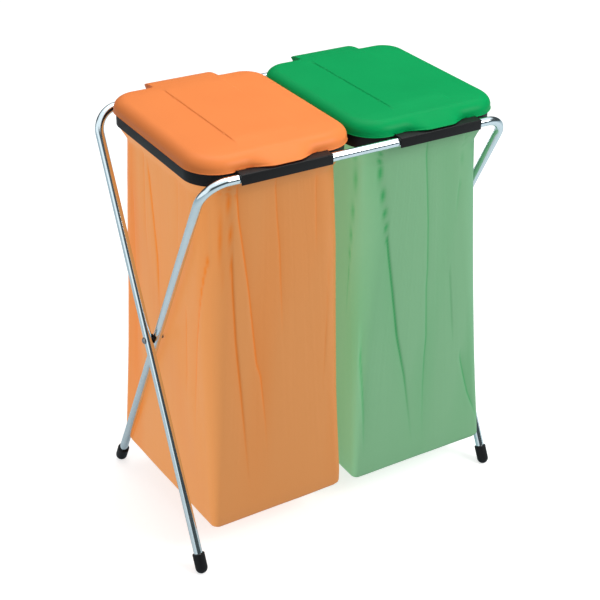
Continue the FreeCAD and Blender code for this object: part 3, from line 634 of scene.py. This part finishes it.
def hook_profile():
    """An upside-down J: the web off the band, the top over the bar and the front face."""
    front = -(BAR_REACH + HOOK_TOP)
    back = -(RING_HALF[1] - RING_WALL / 2)
    outside = [
        (back, BAR_HEIGHT + HOOK_TOP),
        (front, BAR_HEIGHT + HOOK_TOP),
        (front, BAR_HEIGHT - HOOK_DROP),
        (front + SLEEVE_WALL - 0.0003, BAR_HEIGHT - HOOK_DROP),
    ]
    outline = rounded(outside, [0, 0.002, EDGE_ROUND, EDGE_ROUND], closed=False)
    outline += arc((-BAR_REACH, BAR_HEIGHT), HOOK_BORE, 180, 90)
    outline.append((back, BAR_HEIGHT + HOOK_BORE))
    return outline


def clip_profile():
    """A C round the rear bar with its mouth below, joined to the band by a web."""
    outer = CLIP_BORE + SLEEVE_WALL
    back = RING_HALF[1] - RING_WALL / 2
    gap = math.degrees(math.asin(CLIP_GAP_HALF / CLIP_BORE))
    lip = math.degrees(math.asin(CLIP_GAP_HALF / outer))
    centre = (BAR_REACH, BAR_HEIGHT)
    outline = [(back, BAR_HEIGHT + outer)]
    outline += arc(centre, outer, 90, -90 + lip, 28)
    outline += arc(centre, CLIP_BORE, -90 + gap, 270 - gap, 40)
    outline += arc(centre, outer, 270 - lip, 262, 2)
    outline.append((back, BAR_HEIGHT - outer))
    return outline


def ear_profile():
    """A round-topped ear about the lid's pin."""
    centre = (PIN_REACH, PIN_HEIGHT)
    foot = BAR_HEIGHT + 0.003
    outline = [(PIN_REACH + EAR_RADIUS, foot)]
    outline += arc(centre, EAR_RADIUS, 0, 180, 24)
    outline.append((PIN_REACH - EAR_RADIUS, foot))
    return outline


def bag_ring(name, sign):
    """The whole moulding of one ring."""
    middle = sign * RING_OFFSET
    band = rounded(
        [(0, RING_HIGH), (0, RING_LOW), (-RING_WALL, RING_LOW), (-RING_WALL, RING_HIGH)],
        [EDGE_ROUND, 0.0015, EDGE_ROUND, EDGE_ROUND],
        steps=4,
    )
    shapes = [
        swept_band(band, 0, middle),
        extruded(hook_profile(), middle - SLEEVE_HALF, middle + SLEEVE_HALF),
        extruded(clip_profile(), middle - SLEEVE_HALF, middle + SLEEVE_HALF),
    ]
    for start, end in ((-EAR_END, -EAR_START), (EAR_START, EAR_END)):
        shapes.append(extruded(ear_profile(), middle + start, middle + end, EDGE_ROUND / 2))
    return new_piece(name, *gathered(shapes))


for side, sign in (("left", -1), ("right", 1)):
    ring = bag_ring(f"bag_ring_{side}_moulding", sign)
    ring.data.materials.append(black_moulding)
    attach(ring, side + "_ring")
    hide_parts("bag_ring_" + side)

# The bag hoops
# A thin black hoop with a flange drops into each ring from above and holds the bag's mouth
# against the band.
HOOP_INSET = 0.0043
HOOP_WALL = 0.0025
FLANGE_REACH = 0.0035
FLANGE_LOW, FLANGE_HIGH = BAR_HEIGHT + 0.0133, BAR_HEIGHT + 0.0148
HOOP_LOW = BAR_HEIGHT - 0.0067

for side, sign in (("left", -1), ("right", 1)):
    section = rounded(
        [
            (0, FLANGE_LOW),
            (0, HOOP_LOW),
            (-HOOP_WALL, HOOP_LOW),
            (-HOOP_WALL, FLANGE_HIGH),
            (FLANGE_REACH, FLANGE_HIGH),
            (FLANGE_REACH, FLANGE_LOW),
        ],
        [0, 0.0006, 0.0006, 0.0006, 0.0006, 0.0006],
        steps=3,
    )
    shape = swept_band(section, HOOP_INSET, sign * RING_OFFSET)
    hoop = new_piece(f"bag_hoop_{side}_moulding", *shape)
    hoop.data.materials.append(black_moulding)
    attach(hoop, side + "_ring")
    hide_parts("bag_hoop_" + side)

# The film bags
# Thin polyethylene bags, one orange and one green. The film is gathered at the ring, hangs in
# long uneven pleats and spreads to a flat bottom with nearly square corners.
BAG_TOP = BAR_HEIGHT + 0.0127
BAG_BOTTOM = {"left": 0.073, "right": 0.068}
SIDE_COLUMNS = (200, 70, 60, 180)
CORNER_COLUMNS = 14
BAG_ROWS = 120
BOTTOM_ROWS = 14
LEG_ROOM = 0.0012

# Heights of each bag's levels, the places of its four corners from the ring's middle (front
# left, front right, rear right, rear left), and the radii of its front and rear corners
MOUTH = ((-0.1651, -0.1931), (0.1651, -0.1931), (0.1651, 0.1931), (-0.1651, 0.1931))
BAG_LEVELS = {
    "left": [
        (BAG_TOP, MOUTH, 0.061, 0.049),
        (RING_LOW, MOUTH, 0.061, 0.049),
        (0.8150, ((-0.156, -0.190), (0.150, -0.190), (0.150, 0.190), (-0.156, 0.190)), 0.068, 0.070),
        (0.6500, ((-0.154, -0.193), (0.153, -0.193), (0.152, 0.194), (-0.157, 0.195)), 0.052, 0.057),
        (0.4600, ((-0.153, -0.195), (0.154, -0.195), (0.151, 0.195), (-0.158, 0.197)), 0.040, 0.044),
        (0.3250, ((-0.152, -0.197), (0.155, -0.197), (0.150, 0.196), (-0.159, 0.199)), 0.032, 0.032),
        (0.1070, ((-0.151, -0.199), (0.160, -0.199), (0.150, 0.198), (-0.166, 0.201)), 0.017, 0.018),
        (0.0810, ((-0.149, -0.197), (0.159, -0.198), (0.149, 0.197), (-0.165, 0.200)), 0.014, 0.015),
        (0.0730, ((-0.142, -0.190), (0.154, -0.192), (0.144, 0.191), (-0.159, 0.194)), 0.013, 0.014),
    ],
    "right": [
        (BAG_TOP, MOUTH, 0.061, 0.049),
        (RING_LOW, MOUTH, 0.061, 0.049),
        (0.8000, ((-0.156, -0.190), (0.152, -0.190), (0.152, 0.190), (-0.156, 0.191)), 0.078, 0.062),
        (0.7200, ((-0.155, -0.192), (0.153, -0.192), (0.151, 0.192), (-0.155, 0.193)), 0.072, 0.054),
        (0.5840, ((-0.154, -0.194), (0.156, -0.194), (0.150, 0.194), (-0.154, 0.195)), 0.054, 0.044),
        (0.3800, ((-0.155, -0.196), (0.165, -0.197), (0.148, 0.196), (-0.155, 0.197)), 0.034, 0.034),
        (0.2170, ((-0.156, -0.198), (0.174, -0.200), (0.147, 0.198), (-0.156, 0.198)), 0.022, 0.024),
        (0.1100, ((-0.157, -0.199), (0.181, -0.203), (0.147, 0.199), (-0.157, 0.199)), 0.015, 0.017),
        (0.0760, ((-0.156, -0.198), (0.183, -0.203), (0.146, 0.198), (-0.156, 0.198)), 0.012, 0.014),
        (0.0680, ((-0.149, -0.191), (0.177, -0.197), (0.141, 0.192), (-0.150, 0.192)), 0.011, 0.013),
    ],
}

# Long folds of the film: the face they are on, how deep they pull it in, how wide their soft
# side is, how much the doubled film shows, and their line in millimetres, across and up
FOLDS = {
    "left": [
        ("front", 3.4, 20, 1.0, [(-88, 832), (-84, 762), (-64, 603), (-48, 442), (-39, 409), (-29, 296), (-25, 200)]),
        ("front", 2.8, -14, 0.9, [(-105, 834), (-101, 726), (-99, 619), (-94, 506), (-84, 389), (-76, 284), (-64, 120)]),
        ("front", 2.2, -12, 0.7, [(-121, 828), (-121, 600)]),
        ("front", 1.3, 9, 0.5, [(-7, 825), (-2, 742), (3, 686), (10, 470)]),
        ("front", 1.6, 22, 0.3, [(82, 820), (85, 640)]),
        ("front", 1.2, -18, 0.2, [(118, 640), (104, 300)]),
        ("left", 3.0, 18, 1.0, [(-172, 800), (-176, 704), (-161, 616), (-144, 495), (-135, 382), (-131, 240)]),
        ("left", 2.0, 12, 0.7, [(-102, 540), (-95, 330)]),
        ("left", 2.6, -14, 0.8, [(45, 790), (21, 610), (15, 460)]),
        ("left", 2.0, 14, 0.6, [(62, 825), (67, 663), (55, 570)]),
        ("left", 2.2, 30, 0.3, [(-81, 825), (-69, 560)]),
        ("left", 1.6, 26, 0.3, [(120, 700), (128, 260)]),
    ],
    "right": [
        ("front", 1.8, 20, 0.4, [(-148, 840), (-143, 700)]),
        ("front", 3.4, -18, 1.0, [(-118, 833), (-112, 781), (-99, 678), (-88, 597), (-76, 520), (-59, 402), (-49, 357), (-35, 295), (-21, 206), (-3, 85)]),
        ("front", 1.4, 9, 0.6, [(-9, 827), (5, 652), (10, 545), (10, 495), (17, 379), (15, 329), (15, 261), (17, 174), (23, 72)]),
        ("front", 3.0, 16, 0.7, [(112, 300), (118, 276), (140, 198), (164, 140), (178, 90)]),
        ("front", 2.4, 14, 0.6, [(-150, 440), (-143, 321), (-138, 235), (-134, 110)]),
        ("front", 2.0, 26, 0.3, [(88, 830), (74, 620)]),
        ("front", 1.8, -24, 0.2, [(70, 520), (92, 320)]),
        ("left", 2.0, 16, 0.6, [(-150, 820), (-140, 420)]),
        ("left", 1.8, 16, 0.5, [(-40, 780), (-20, 300)]),
    ],
}


def eased(share):
    """A soft start and stop between 0 and 1."""
    share = min(max(share, 0.0), 1.0)
    return share * share * (3 - 2 * share)


def bag_level(levels, height):
    """The four corners of the bag and their radii at a height."""
    for (high, corners, front, rear), (low, next_corners, next_front, next_rear) in zip(levels, levels[1:]):
        if height >= low:
            share = (high - height) / (high - low)
            between = [Vector(a).lerp(Vector(b), share) for a, b in zip(corners, next_corners)]
            return between, front + (next_front - front) * share, rear + (next_rear - rear) * share
    return [Vector(corner) for corner in levels[-1][1]], levels[-1][2], levels[-1][3]


def bag_loop(corners, front, rear):
    """Points, ways out and faces round the bag, the same number on every level."""
    arcs = []
    for number, corner in enumerate(corners):
        back = (corners[number - 1] - corner).normalized()
        ahead = (corners[(number + 1) % 4] - corner).normalized()
        half = back.angle(ahead) / 2
        radius = front if number < 2 else rear
        centre = corner + (back + ahead).normalized() * (radius / math.sin(half))
        start = math.atan2(back.x, -back.y)
        sweep = math.pi - 2 * half
        arcs.append((centre, radius, start, sweep))
    loop = []
    for number, (centre, radius, start, sweep) in enumerate(arcs):
        for step in range(CORNER_COLUMNS):
            angle = start + sweep * step / CORNER_COLUMNS
            out = Vector((math.cos(angle), math.sin(angle)))
            loop.append((centre + out * radius, out, number if step >= CORNER_COLUMNS / 2 else number - 1))
        after, next_radius, next_start, _ = arcs[(number + 1) % 4]
        out = Vector((math.cos(start + sweep), math.sin(start + sweep)))
        near, far = centre + out * radius, after + out * next_radius
        for step in range(SIDE_COLUMNS[number]):
            loop.append((near.lerp(far, step / SIDE_COLUMNS[number]), out, number))
    return loop


def fold_pull(folds, face, across, height):
    """How far the folds pull the film in at a point, and how much it lies double there."""
    pull = 0.0
    doubled = 0.0
    for where, depth, width, shows, line in folds:
        top, bottom = line[0][1] / 1000, line[-1][1] / 1000
        if where != face or not bottom < height < top + 0.03:
            continue
        middle = line[0][0] / 1000
        for (x, high), (next_x, low) in zip(line, line[1:]):
            if height * 1000 <= high:
                share = min(1.0, (high - height * 1000) / (high - low))
                middle = (x + (next_x - x) * share) / 1000
        run = (top - height) / (top - bottom)
        strength = eased((top + 0.03 - height) / 0.05) * eased((1 - run) / 0.45)
        off = (across - middle) * (1 if width > 0 else -1)
        crease = math.exp(-off / abs(width / 1000)) if off > 0 else math.exp(off / 0.0022)
        pull += depth / 1000 * strength * crease
        doubled += shows * strength * (math.exp(-(off / 0.0022) ** 2) + 0.22 * (crease if off > 0 else 0.0))
    return pull, doubled


def film_bag(name, side, sign):
    """The hanging shell: rows of points from the mouth down, then in across the bottom, each with its fold colour and
    painted shade and its painted glow.
    """
    seed = 3.0 if side == "left" else 11.0
    levels = BAG_LEVELS[side]
    bottom = BAG_BOTTOM[side]
    vertices = []
    fold_and_painted_shade_values = []
    painted_glow = []
    for row in range(BAG_ROWS):
        share = row / (BAG_ROWS - 1)
        height = BAG_TOP + (bottom - BAG_TOP) * (0.5 * share + 0.25 * (1 - math.cos(math.pi * share)))
        loop = bag_loop(*bag_level(levels, height))
        slack = eased((RING_LOW - height) / 0.04) * (0.35 + 0.65 * eased((height - bottom) / 0.25))
        inner_leg = -BAR_REACH + (BAR_HEIGHT - height) * (BAR_REACH + FOOT_REACH) / BAR_HEIGHT
        for column, (point, out, number) in enumerate(loop):
            face = ("front", "right", "rear", "left")[number]
            across = point.x if face in ("front", "rear") else point.y
            pull, doubled = fold_pull(FOLDS[side], face, across, height)
            small = noise.noise(Vector((column * 0.16, height * 3.0, seed)))
            broad = noise.noise(Vector((point.x * 14, point.y * 14, height * 2.2 + seed)))
            pull += slack * (0.0002 * (small + 0.6) + 0.0022 * (broad + 0.5))
            x, y = point - out * pull
            for leg, leg_offset in ((inner_leg, INNER_LEG), (-inner_leg, OUTER_LEG)):
                room = leg_offset - TUBE_RADIUS - RING_OFFSET - LEG_ROOM
                room += 1.6 * max(0.0, abs(y - leg) - 0.0125)
                if height < RING_LOW and sign * x > room:
                    x = sign * room
            vertices.append((x + sign * RING_OFFSET, y, height))
            # Deeper colour: random tone from the broad noise, and painted shade on the upper right face and on the
            # rear part of the left face.
            deeper = 0.30 * max(0.0, broad) + 0.35 * eased((out.x - 0.1) / 0.8) * eased((height - 0.45) / 0.35)
            deeper += 0.50 * eased(-out.x) * eased((point.y - 0.085) / 0.05)
            fold_and_painted_shade_values.append(min(1.0, doubled + slack * deeper))
            # Painted glow: how strongly the film emits its own colour, most on the left face, standing in for light
            # shining through it.
            painted_glow.append(0.35 + 0.65 * eased(-out.x))
    count = sum(SIDE_COLUMNS) + 4 * CORNER_COLUMNS
    for row in range(1, BOTTOM_ROWS + 1):
        share = max(1 - row / BOTTOM_ROWS, 0.004)
        for column in range(count):
            rim = vertices[(BAG_ROWS - 1) * count + column]
            x = sign * RING_OFFSET + (rim[0] - sign * RING_OFFSET) * share
            y = rim[1] * share
            sag = 0.0012 * noise.noise(Vector((x * 30, y * 30, seed)))
            vertices.append((x, y, bottom + max(0.0, sag)))
            # Across the bottom: a little fold colour and a middling painted glow.
            fold_and_painted_shade_values.append(0.1)
            painted_glow.append(0.5)
    faces = strips(BAG_ROWS + BOTTOM_ROWS, count)
    last = (BAG_ROWS + BOTTOM_ROWS - 1) * count
    faces.append(tuple(last + column for column in range(count)))
    faces = [tuple(reversed(face)) for face in faces]
    bag = new_piece(name, vertices, faces, sharp_above=75)
    for label, values in (("folds_and_painted_shade", fold_and_painted_shade_values), ("painted_glow", painted_glow)):
        attribute = bag.data.attributes.new(label, "FLOAT", "POINT")
        attribute.data.foreach_set("value", values)
    return bag


def film(name, pale, deep, painted_glow_strength):
    """Milky film: paler where it is single; deeper where folds lay it double, in random patches, and in painted shade
    on the upper right face and the rear of the left face; and a painted glow of its own colour, strongest on the left
    face, for light shining through.
    """
    material, tree, shader = new_material(name)
    folds_and_painted_shade = tree.nodes.new("ShaderNodeAttribute")
    folds_and_painted_shade.attribute_name = "folds_and_painted_shade"
    surface = place_group(tree, moulded, grain_scale=60, tone_scale=4)
    # Pale to deep by the attribute: doubled film and random tone, and painted shade on the upper right face and the
    # rear of the left face.
    colour = add_mix(tree, folds_and_painted_shade.outputs["Fac"], pale, deep)
    tree.links.new(colour, shader.inputs["Base Color"])
    # Painted glow: the film emits its own colour, as if lit through, scaled by the per-vertex glow value.
    tree.links.new(colour, shader.inputs["Emission Color"])
    painted_glow = tree.nodes.new("ShaderNodeAttribute")
    painted_glow.attribute_name = "painted_glow"
    tree.links.new(add_range(tree, painted_glow.outputs["Fac"], 0.0, painted_glow_strength), shader.inputs["Emission Strength"])
    shader.inputs["Specular IOR Level"].default_value = 0.25
    tree.links.new(add_range(tree, surface.outputs["Tone"], 0.34, 0.52), shader.inputs["Roughness"])
    stretch = tree.nodes.new("ShaderNodeMapping")
    stretch.inputs["Scale"].default_value = (16, 16, 2.4)
    tree.links.new(tree.nodes.new("ShaderNodeTexCoord").outputs["Object"], stretch.inputs["Vector"])
    add_bump(tree, shader, add_noise(tree, stretch.outputs["Vector"], 1.0, 1.0), 0.0012)
    return material


# The last number is the strength of each film's painted glow.
film_of = {
    "left": film("orange_film", (0.555, 0.225, 0.068, 1), (0.60, 0.155, 0.012, 1), 0.88),
    "right": film("green_film", (0.160, 0.350, 0.188, 1), (0.035, 0.275, 0.085, 1), 0.88),
}
for side, sign in (("left", -1), ("right", 1)):
    bag = film_bag(f"film_bag_{side}_film", side, sign)
    bag.data.materials.append(film_of[side])
    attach(bag, side + "_ring")
    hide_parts("film_bag_" + side)
    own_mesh(bag)

# The lids
# Each lid is one injection moulding, orange or green: a shallow dome with a raised panel that
# runs back into the hinge tab, a finger lip at the front, and knuckles for the pin.
LID_HALF = (0.1715, 0.2010)
LID_CORNER, LID_REAR_CORNER = 0.067, 0.054
LID_WALL = 0.0024
RIM_RISE = 0.009
NOTCH_RISE = 0.0128
NOTCH_HALF = 0.0973
CROWN_RISE = 0.040
SKIRT_RISE = 0.008
SHOULDER_REACH = 0.023
SHOULDER_RISE = 0.0185
CROWN_REACH = 0.0715
LIP_HALF_FLAT, LIP_HALF = 0.024, 0.073
LIP_REACH = 0.0215
LIP_EDGE_RISE = 0.0155
LIP_TOP_INSET = 0.014
PANEL_HALF = 0.0655
PANEL_STEP = 0.0021
PANEL_EDGE = 0.0022
PANEL_FRONT, PANEL_REAR = -0.162, 0.224
PANEL_SOFT_START, PANEL_SOFT_EDGE = 0.138, 0.050
TAB_HALF = 0.0733
TAB_END = 0.2266
TAB_START = 0.180
TAB_END_RISE = 0.0290
KNUCKLE_RADIUS = 0.005
KNUCKLE_BORE = 0.0022
KNUCKLE_START, KNUCKLE_END = 0.0505, 0.0625
WEB_HALF = 0.0011
TAB_UNDERSIDE = BAR_HEIGHT + 0.0306
REAR_WALL_TOP = BAR_HEIGHT + 0.0352
BEAD_INSET, BEAD_REACH = 0.00008, 0.0010


def lid_insets():
    """How far each row of the lid lies inside its rim, close together where the form turns."""
    rows = [0.0, 0.00002, 0.00004, 0.00006, 0.00008, 0.0001, 0.00025, 0.0004]
    for step in range(1, 30):
        share = step / 29
        rows.append(0.0004 + SHOULDER_REACH * share ** 2.0)
    rows += [0.0234 + 0.0021 * step for step in range(1, 36)]
    crease = LID_HALF[0] - PANEL_HALF
    rows += [crease + PANEL_EDGE * step / 4 for step in range(-4, 5)]
    rows += [crease + 0.0035 + 0.0042 * step for step in range(15)]
    return sorted(rows)


def lid_columns():
    """Places along the front and rear sides, close together beside the panel and the lip."""
    half = [step * 0.0031 for step in range(21)]
    half += [PANEL_HALF + PANEL_EDGE * step / 4 for step in range(-4, 5)]
    half += [0.0695, 0.0718, 0.0724] + [0.0745 + 0.0025 * step for step in range(12)]
    straight = LID_HALF[0] - LID_CORNER
    half = [place for place in half if place < straight - 0.0005] + [straight]
    half = sorted(set(round(place, 6) for place in half))
    return [-place for place in reversed(half[1:])] + half


def dome_rise(inset):
    """The lid's height over its rim: a short skirt, a round shoulder and a nearly flat crown."""
    if inset <= 0.0004:
        return SKIRT_RISE * inset / 0.0004
    share = min(1.0, (inset - 0.0004) / SHOULDER_REACH)
    shoulder = SHOULDER_RISE * math.sqrt(1 - (1 - share) ** 2)
    crown = CROWN_RISE - RIM_RISE - SKIRT_RISE - SHOULDER_RISE
    return SKIRT_RISE + shoulder + crown * math.sin(math.pi / 2 * min(1.0, inset / CROWN_REACH))


def lid_loop(inset, columns):
    """The places round the lid at an inset: x, y and the way out."""
    half_width = LID_HALF[0] - inset
    half_length = LID_HALF[1] - inset
    corners = []
    ends = []
    for full in (LID_CORNER, LID_REAR_CORNER):
        rest = full - 0.047
        far_in = rest * (1 - min(1.0, (inset - 0.047) / 0.054)) + 0.0005
        corner = full - inset if inset <= 0.047 else far_in
        reach = max(half_width - corner, 0.0)
        core = min(0.0685, 0.985 * reach)
        straight = LID_HALF[0] - LID_CORNER
        xs = []
        for column in columns:
            size = abs(column)
            place = size * core / 0.0685
            if size > 0.0685:
                place = core + (size - 0.0685) / (straight - 0.0685) * (reach - core)
            xs.append(math.copysign(place, column))
        corners.append((corner, reach, max(half_length - corner, 0.0)))
        ends.append(xs)
    side_steps = 24
    front_y, rear_y = -corners[0][2], corners[1][2]
    along = [front_y + (rear_y - front_y) * step / side_steps for step in range(side_steps + 1)]
    loop = [(x, -half_length, (0, -1)) for x in ends[0]]
    for quarter, (x_sign, y_sign) in enumerate([(1, -1), (1, 1), (-1, 1), (-1, -1)]):
        corner, reach, rows_y = corners[1 if y_sign > 0 else 0]
        start = -math.pi / 2 + quarter * math.pi / 2
        for step in range(1, CORNER_STEPS):
            angle = start + math.pi / 2 * step / CORNER_STEPS
            centre = (x_sign * reach, y_sign * rows_y)
            out = (math.cos(angle), math.sin(angle))
            loop.append((centre[0] + corner * out[0], centre[1] + corner * out[1], out))
        if quarter == 0:
            loop += [(half_width, y, (1, 0)) for y in along]
        elif quarter == 1:
            loop += [(x, half_length, (0, 1)) for x in reversed(ends[1])]
        elif quarter == 2:
            loop += [(-half_width, y, (-1, 0)) for y in reversed(along)]
    return loop


def panel_step(x, y):
    """The height of the raised panel over the crown, fading out to the front and the rear."""
    edge = PANEL_EDGE + PANEL_SOFT_EDGE * eased((y - PANEL_SOFT_START) / 0.03)
    across = eased((PANEL_HALF + edge / 2 - abs(x)) / edge)
    front = eased((y - PANEL_FRONT) / 0.045)
    rear = eased((PANEL_REAR - y) / 0.055)
    return PANEL_STEP * across * front * rear


def bezier(points, share):
    """A point on a cubic curve."""
    a, b, c, d = (Vector(point) for point in points)
    rest = 1 - share
    return a * rest ** 3 + b * 3 * rest ** 2 * share + c * 3 * rest * share ** 2 + d * share ** 3


def lid_shell(sign):
    """The outer face of a lid, as rows of points that run in from its rim."""
    insets = lid_insets()
    columns = lid_columns()
    lip_rows = [inset for inset in insets if inset <= LIP_TOP_INSET]
    tab_rows = [inset for inset in insets if inset <= LID_HALF[1] - TAB_START]
    lip_top = RIM_RISE + dome_rise(lip_rows[-1])
    lip_curve = [(LIP_REACH, LIP_EDGE_RISE), (0.0175, 0.0215), (-0.002, lip_top - 0.0060), (-lip_rows[-1], lip_top)]
    tab_top = RIM_RISE + dome_rise(tab_rows[-1])
    tab_curve = [(TAB_END, TAB_END_RISE), (0.2225, 0.0335), (0.205, tab_top - 0.0005), (LID_HALF[1] - tab_rows[-1], tab_top)]
    vertices = []
    for row, inset in enumerate(insets):
        for x, y, out in lid_loop(inset, columns):
            rise = RIM_RISE + dome_rise(inset)
            notch = eased((NOTCH_HALF + 0.004 - abs(x)) / 0.004) * (abs(out[1]) > 0.99)
            if notch and rise < NOTCH_RISE:
                rise += (NOTCH_RISE - rise) * notch
            if y < 0 and abs(x) < LIP_HALF and row < len(lip_rows):
                share = row / (len(lip_rows) - 1)
                way, height = bezier(lip_curve, share)
                weight = eased((LIP_HALF - abs(x)) / (LIP_HALF - LIP_HALF_FLAT))
                y += (-(LID_HALF[1] + way) - y) * weight
                rise += (height - rise) * weight
            if y > 0 and row < len(tab_rows):
                weight = eased((TAB_HALF + 0.0004 - abs(x)) / 0.0008)
                place, height = bezier(tab_curve, row / (len(tab_rows) - 1))
                y += (place - y) * weight
                rise += (height - rise) * weight
            rise += panel_step(x, y)
            if inset < BEAD_INSET and not (y > 0 and abs(x) < TAB_HALF):
                bead = BEAD_REACH * math.sin(math.pi * inset / BEAD_INSET)
                x, y = x + bead * out[0], y + bead * out[1]
            vertices.append(Vector((sign * RING_OFFSET + x, y, BAR_HEIGHT + rise)))
    count = len(lid_loop(0.0, columns))
    faces = strips(len(insets), count)
    last = (len(insets) - 1) * count
    faces.append(tuple(last + column for column in range(count)))
    return vertices, faces


def lid(name, sign):
    """The shell given its wall, with the rear wall, ribs and knuckles below the tab."""
    outside = new_piece(name + "_outside", *lid_shell(sign))
    thick = outside.modifiers.new("wall", "SOLIDIFY")
    thick.thickness = LID_WALL
    thick.offset = -1
    thick.use_rim = True
    bpy.context.view_layer.update()
    walled = outside.evaluated_get(bpy.context.evaluated_depsgraph_get()).to_mesh()
    shapes = [([vertex.co.copy() for vertex in walled.vertices], [tuple(face.vertices) for face in walled.polygons])]
    bpy.data.objects.remove(outside)
    middle = sign * RING_OFFSET
    rear = LID_HALF[1]
    rear_wall = [
        (rear - LID_WALL, BAR_HEIGHT + NOTCH_RISE),
        (rear - 0.0002, BAR_HEIGHT + NOTCH_RISE),
        (rear - 0.0002, REAR_WALL_TOP),
        (rear - LID_WALL, REAR_WALL_TOP),
    ]
    shapes.append(extruded(rear_wall, middle - TAB_HALF, middle + TAB_HALF, 0.0002))
    pin = (PIN_REACH, PIN_HEIGHT)
    knuckle = arc(pin, KNUCKLE_RADIUS, 92, 448, 36) + arc(pin, KNUCKLE_BORE, 448, 92, 24)
    web = [
        (PIN_REACH - WEB_HALF, PIN_HEIGHT + KNUCKLE_RADIUS - 0.0008),
        (PIN_REACH + WEB_HALF, PIN_HEIGHT + KNUCKLE_RADIUS - 0.0008),
        (PIN_REACH + WEB_HALF, TAB_UNDERSIDE),
        (PIN_REACH - WEB_HALF, TAB_UNDERSIDE),
    ]
    rib = [
        (rear - 0.0006, PIN_HEIGHT - 0.002),
        (PIN_REACH - KNUCKLE_RADIUS + 0.0008, PIN_HEIGHT - 0.002),
        (PIN_REACH - KNUCKLE_RADIUS + 0.0016, PIN_HEIGHT + 0.003),
        (PIN_REACH, TAB_UNDERSIDE),
        (rear - 0.0006, TAB_UNDERSIDE + 0.003),
    ]
    for side in (-1, 1):
        start, end = sorted((middle + side * KNUCKLE_START, middle + side * KNUCKLE_END))
        shapes.append(extruded(knuckle, start, end, 0))
        shapes.append(extruded(web, start, end, 0.0002))
        shapes.append(extruded(rib, (start + end) / 2 - 0.001, (start + end) / 2 + 0.001, 0.0002))
    return new_piece(name, *gathered(shapes), sharp_above=60)


lid_plastic = {
    "left": plastic("orange_lid", (0.90, 0.265, 0.068, 1), (0.86, 0.24, 0.06, 1), 0.40, 1300, 0.00005),
    "right": plastic("green_lid", (0.0, 0.345, 0.092, 1), (0.0, 0.30, 0.08, 1), 0.40, 1300, 0.00005, 0.08),
}
for side, sign in (("left", -1), ("right", 1)):
    cover = lid(f"lid_{side}_moulding", sign)
    cover.data.materials.append(lid_plastic[side])
    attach(cover, side + "_lid")
    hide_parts("lid_" + side)

# The lid pins
# A plain steel pin, headed at both ends, passes through a ring's ears and its lid's knuckles.
PIN_RADIUS = 0.002
PIN_HEAD_RADIUS = 0.0032
PIN_HEAD_THICKNESS = 0.0012

for side, sign in (("left", -1), ("right", 1)):
    half = [
        (EAR_END, PIN_RADIUS),
        (EAR_END, PIN_HEAD_RADIUS),
        (EAR_END + PIN_HEAD_THICKNESS, PIN_HEAD_RADIUS),
        (EAR_END + PIN_HEAD_THICKNESS, 0.0),
    ]
    outline = [(-way, radius) for way, radius in reversed(half)] + half
    pin = turned(
        f"lid_hinge_pin_{side}_turned",
        rounded(outline, 0.0003, 3, closed=False),
        (sign * RING_OFFSET, PIN_REACH, PIN_HEIGHT),
        (1, 0, 0),
        sides=32,
    )
    pin.data.materials.append(rivet_steel)
    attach(pin, side + "_ring")
    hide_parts("lid_hinge_pin_" + side)
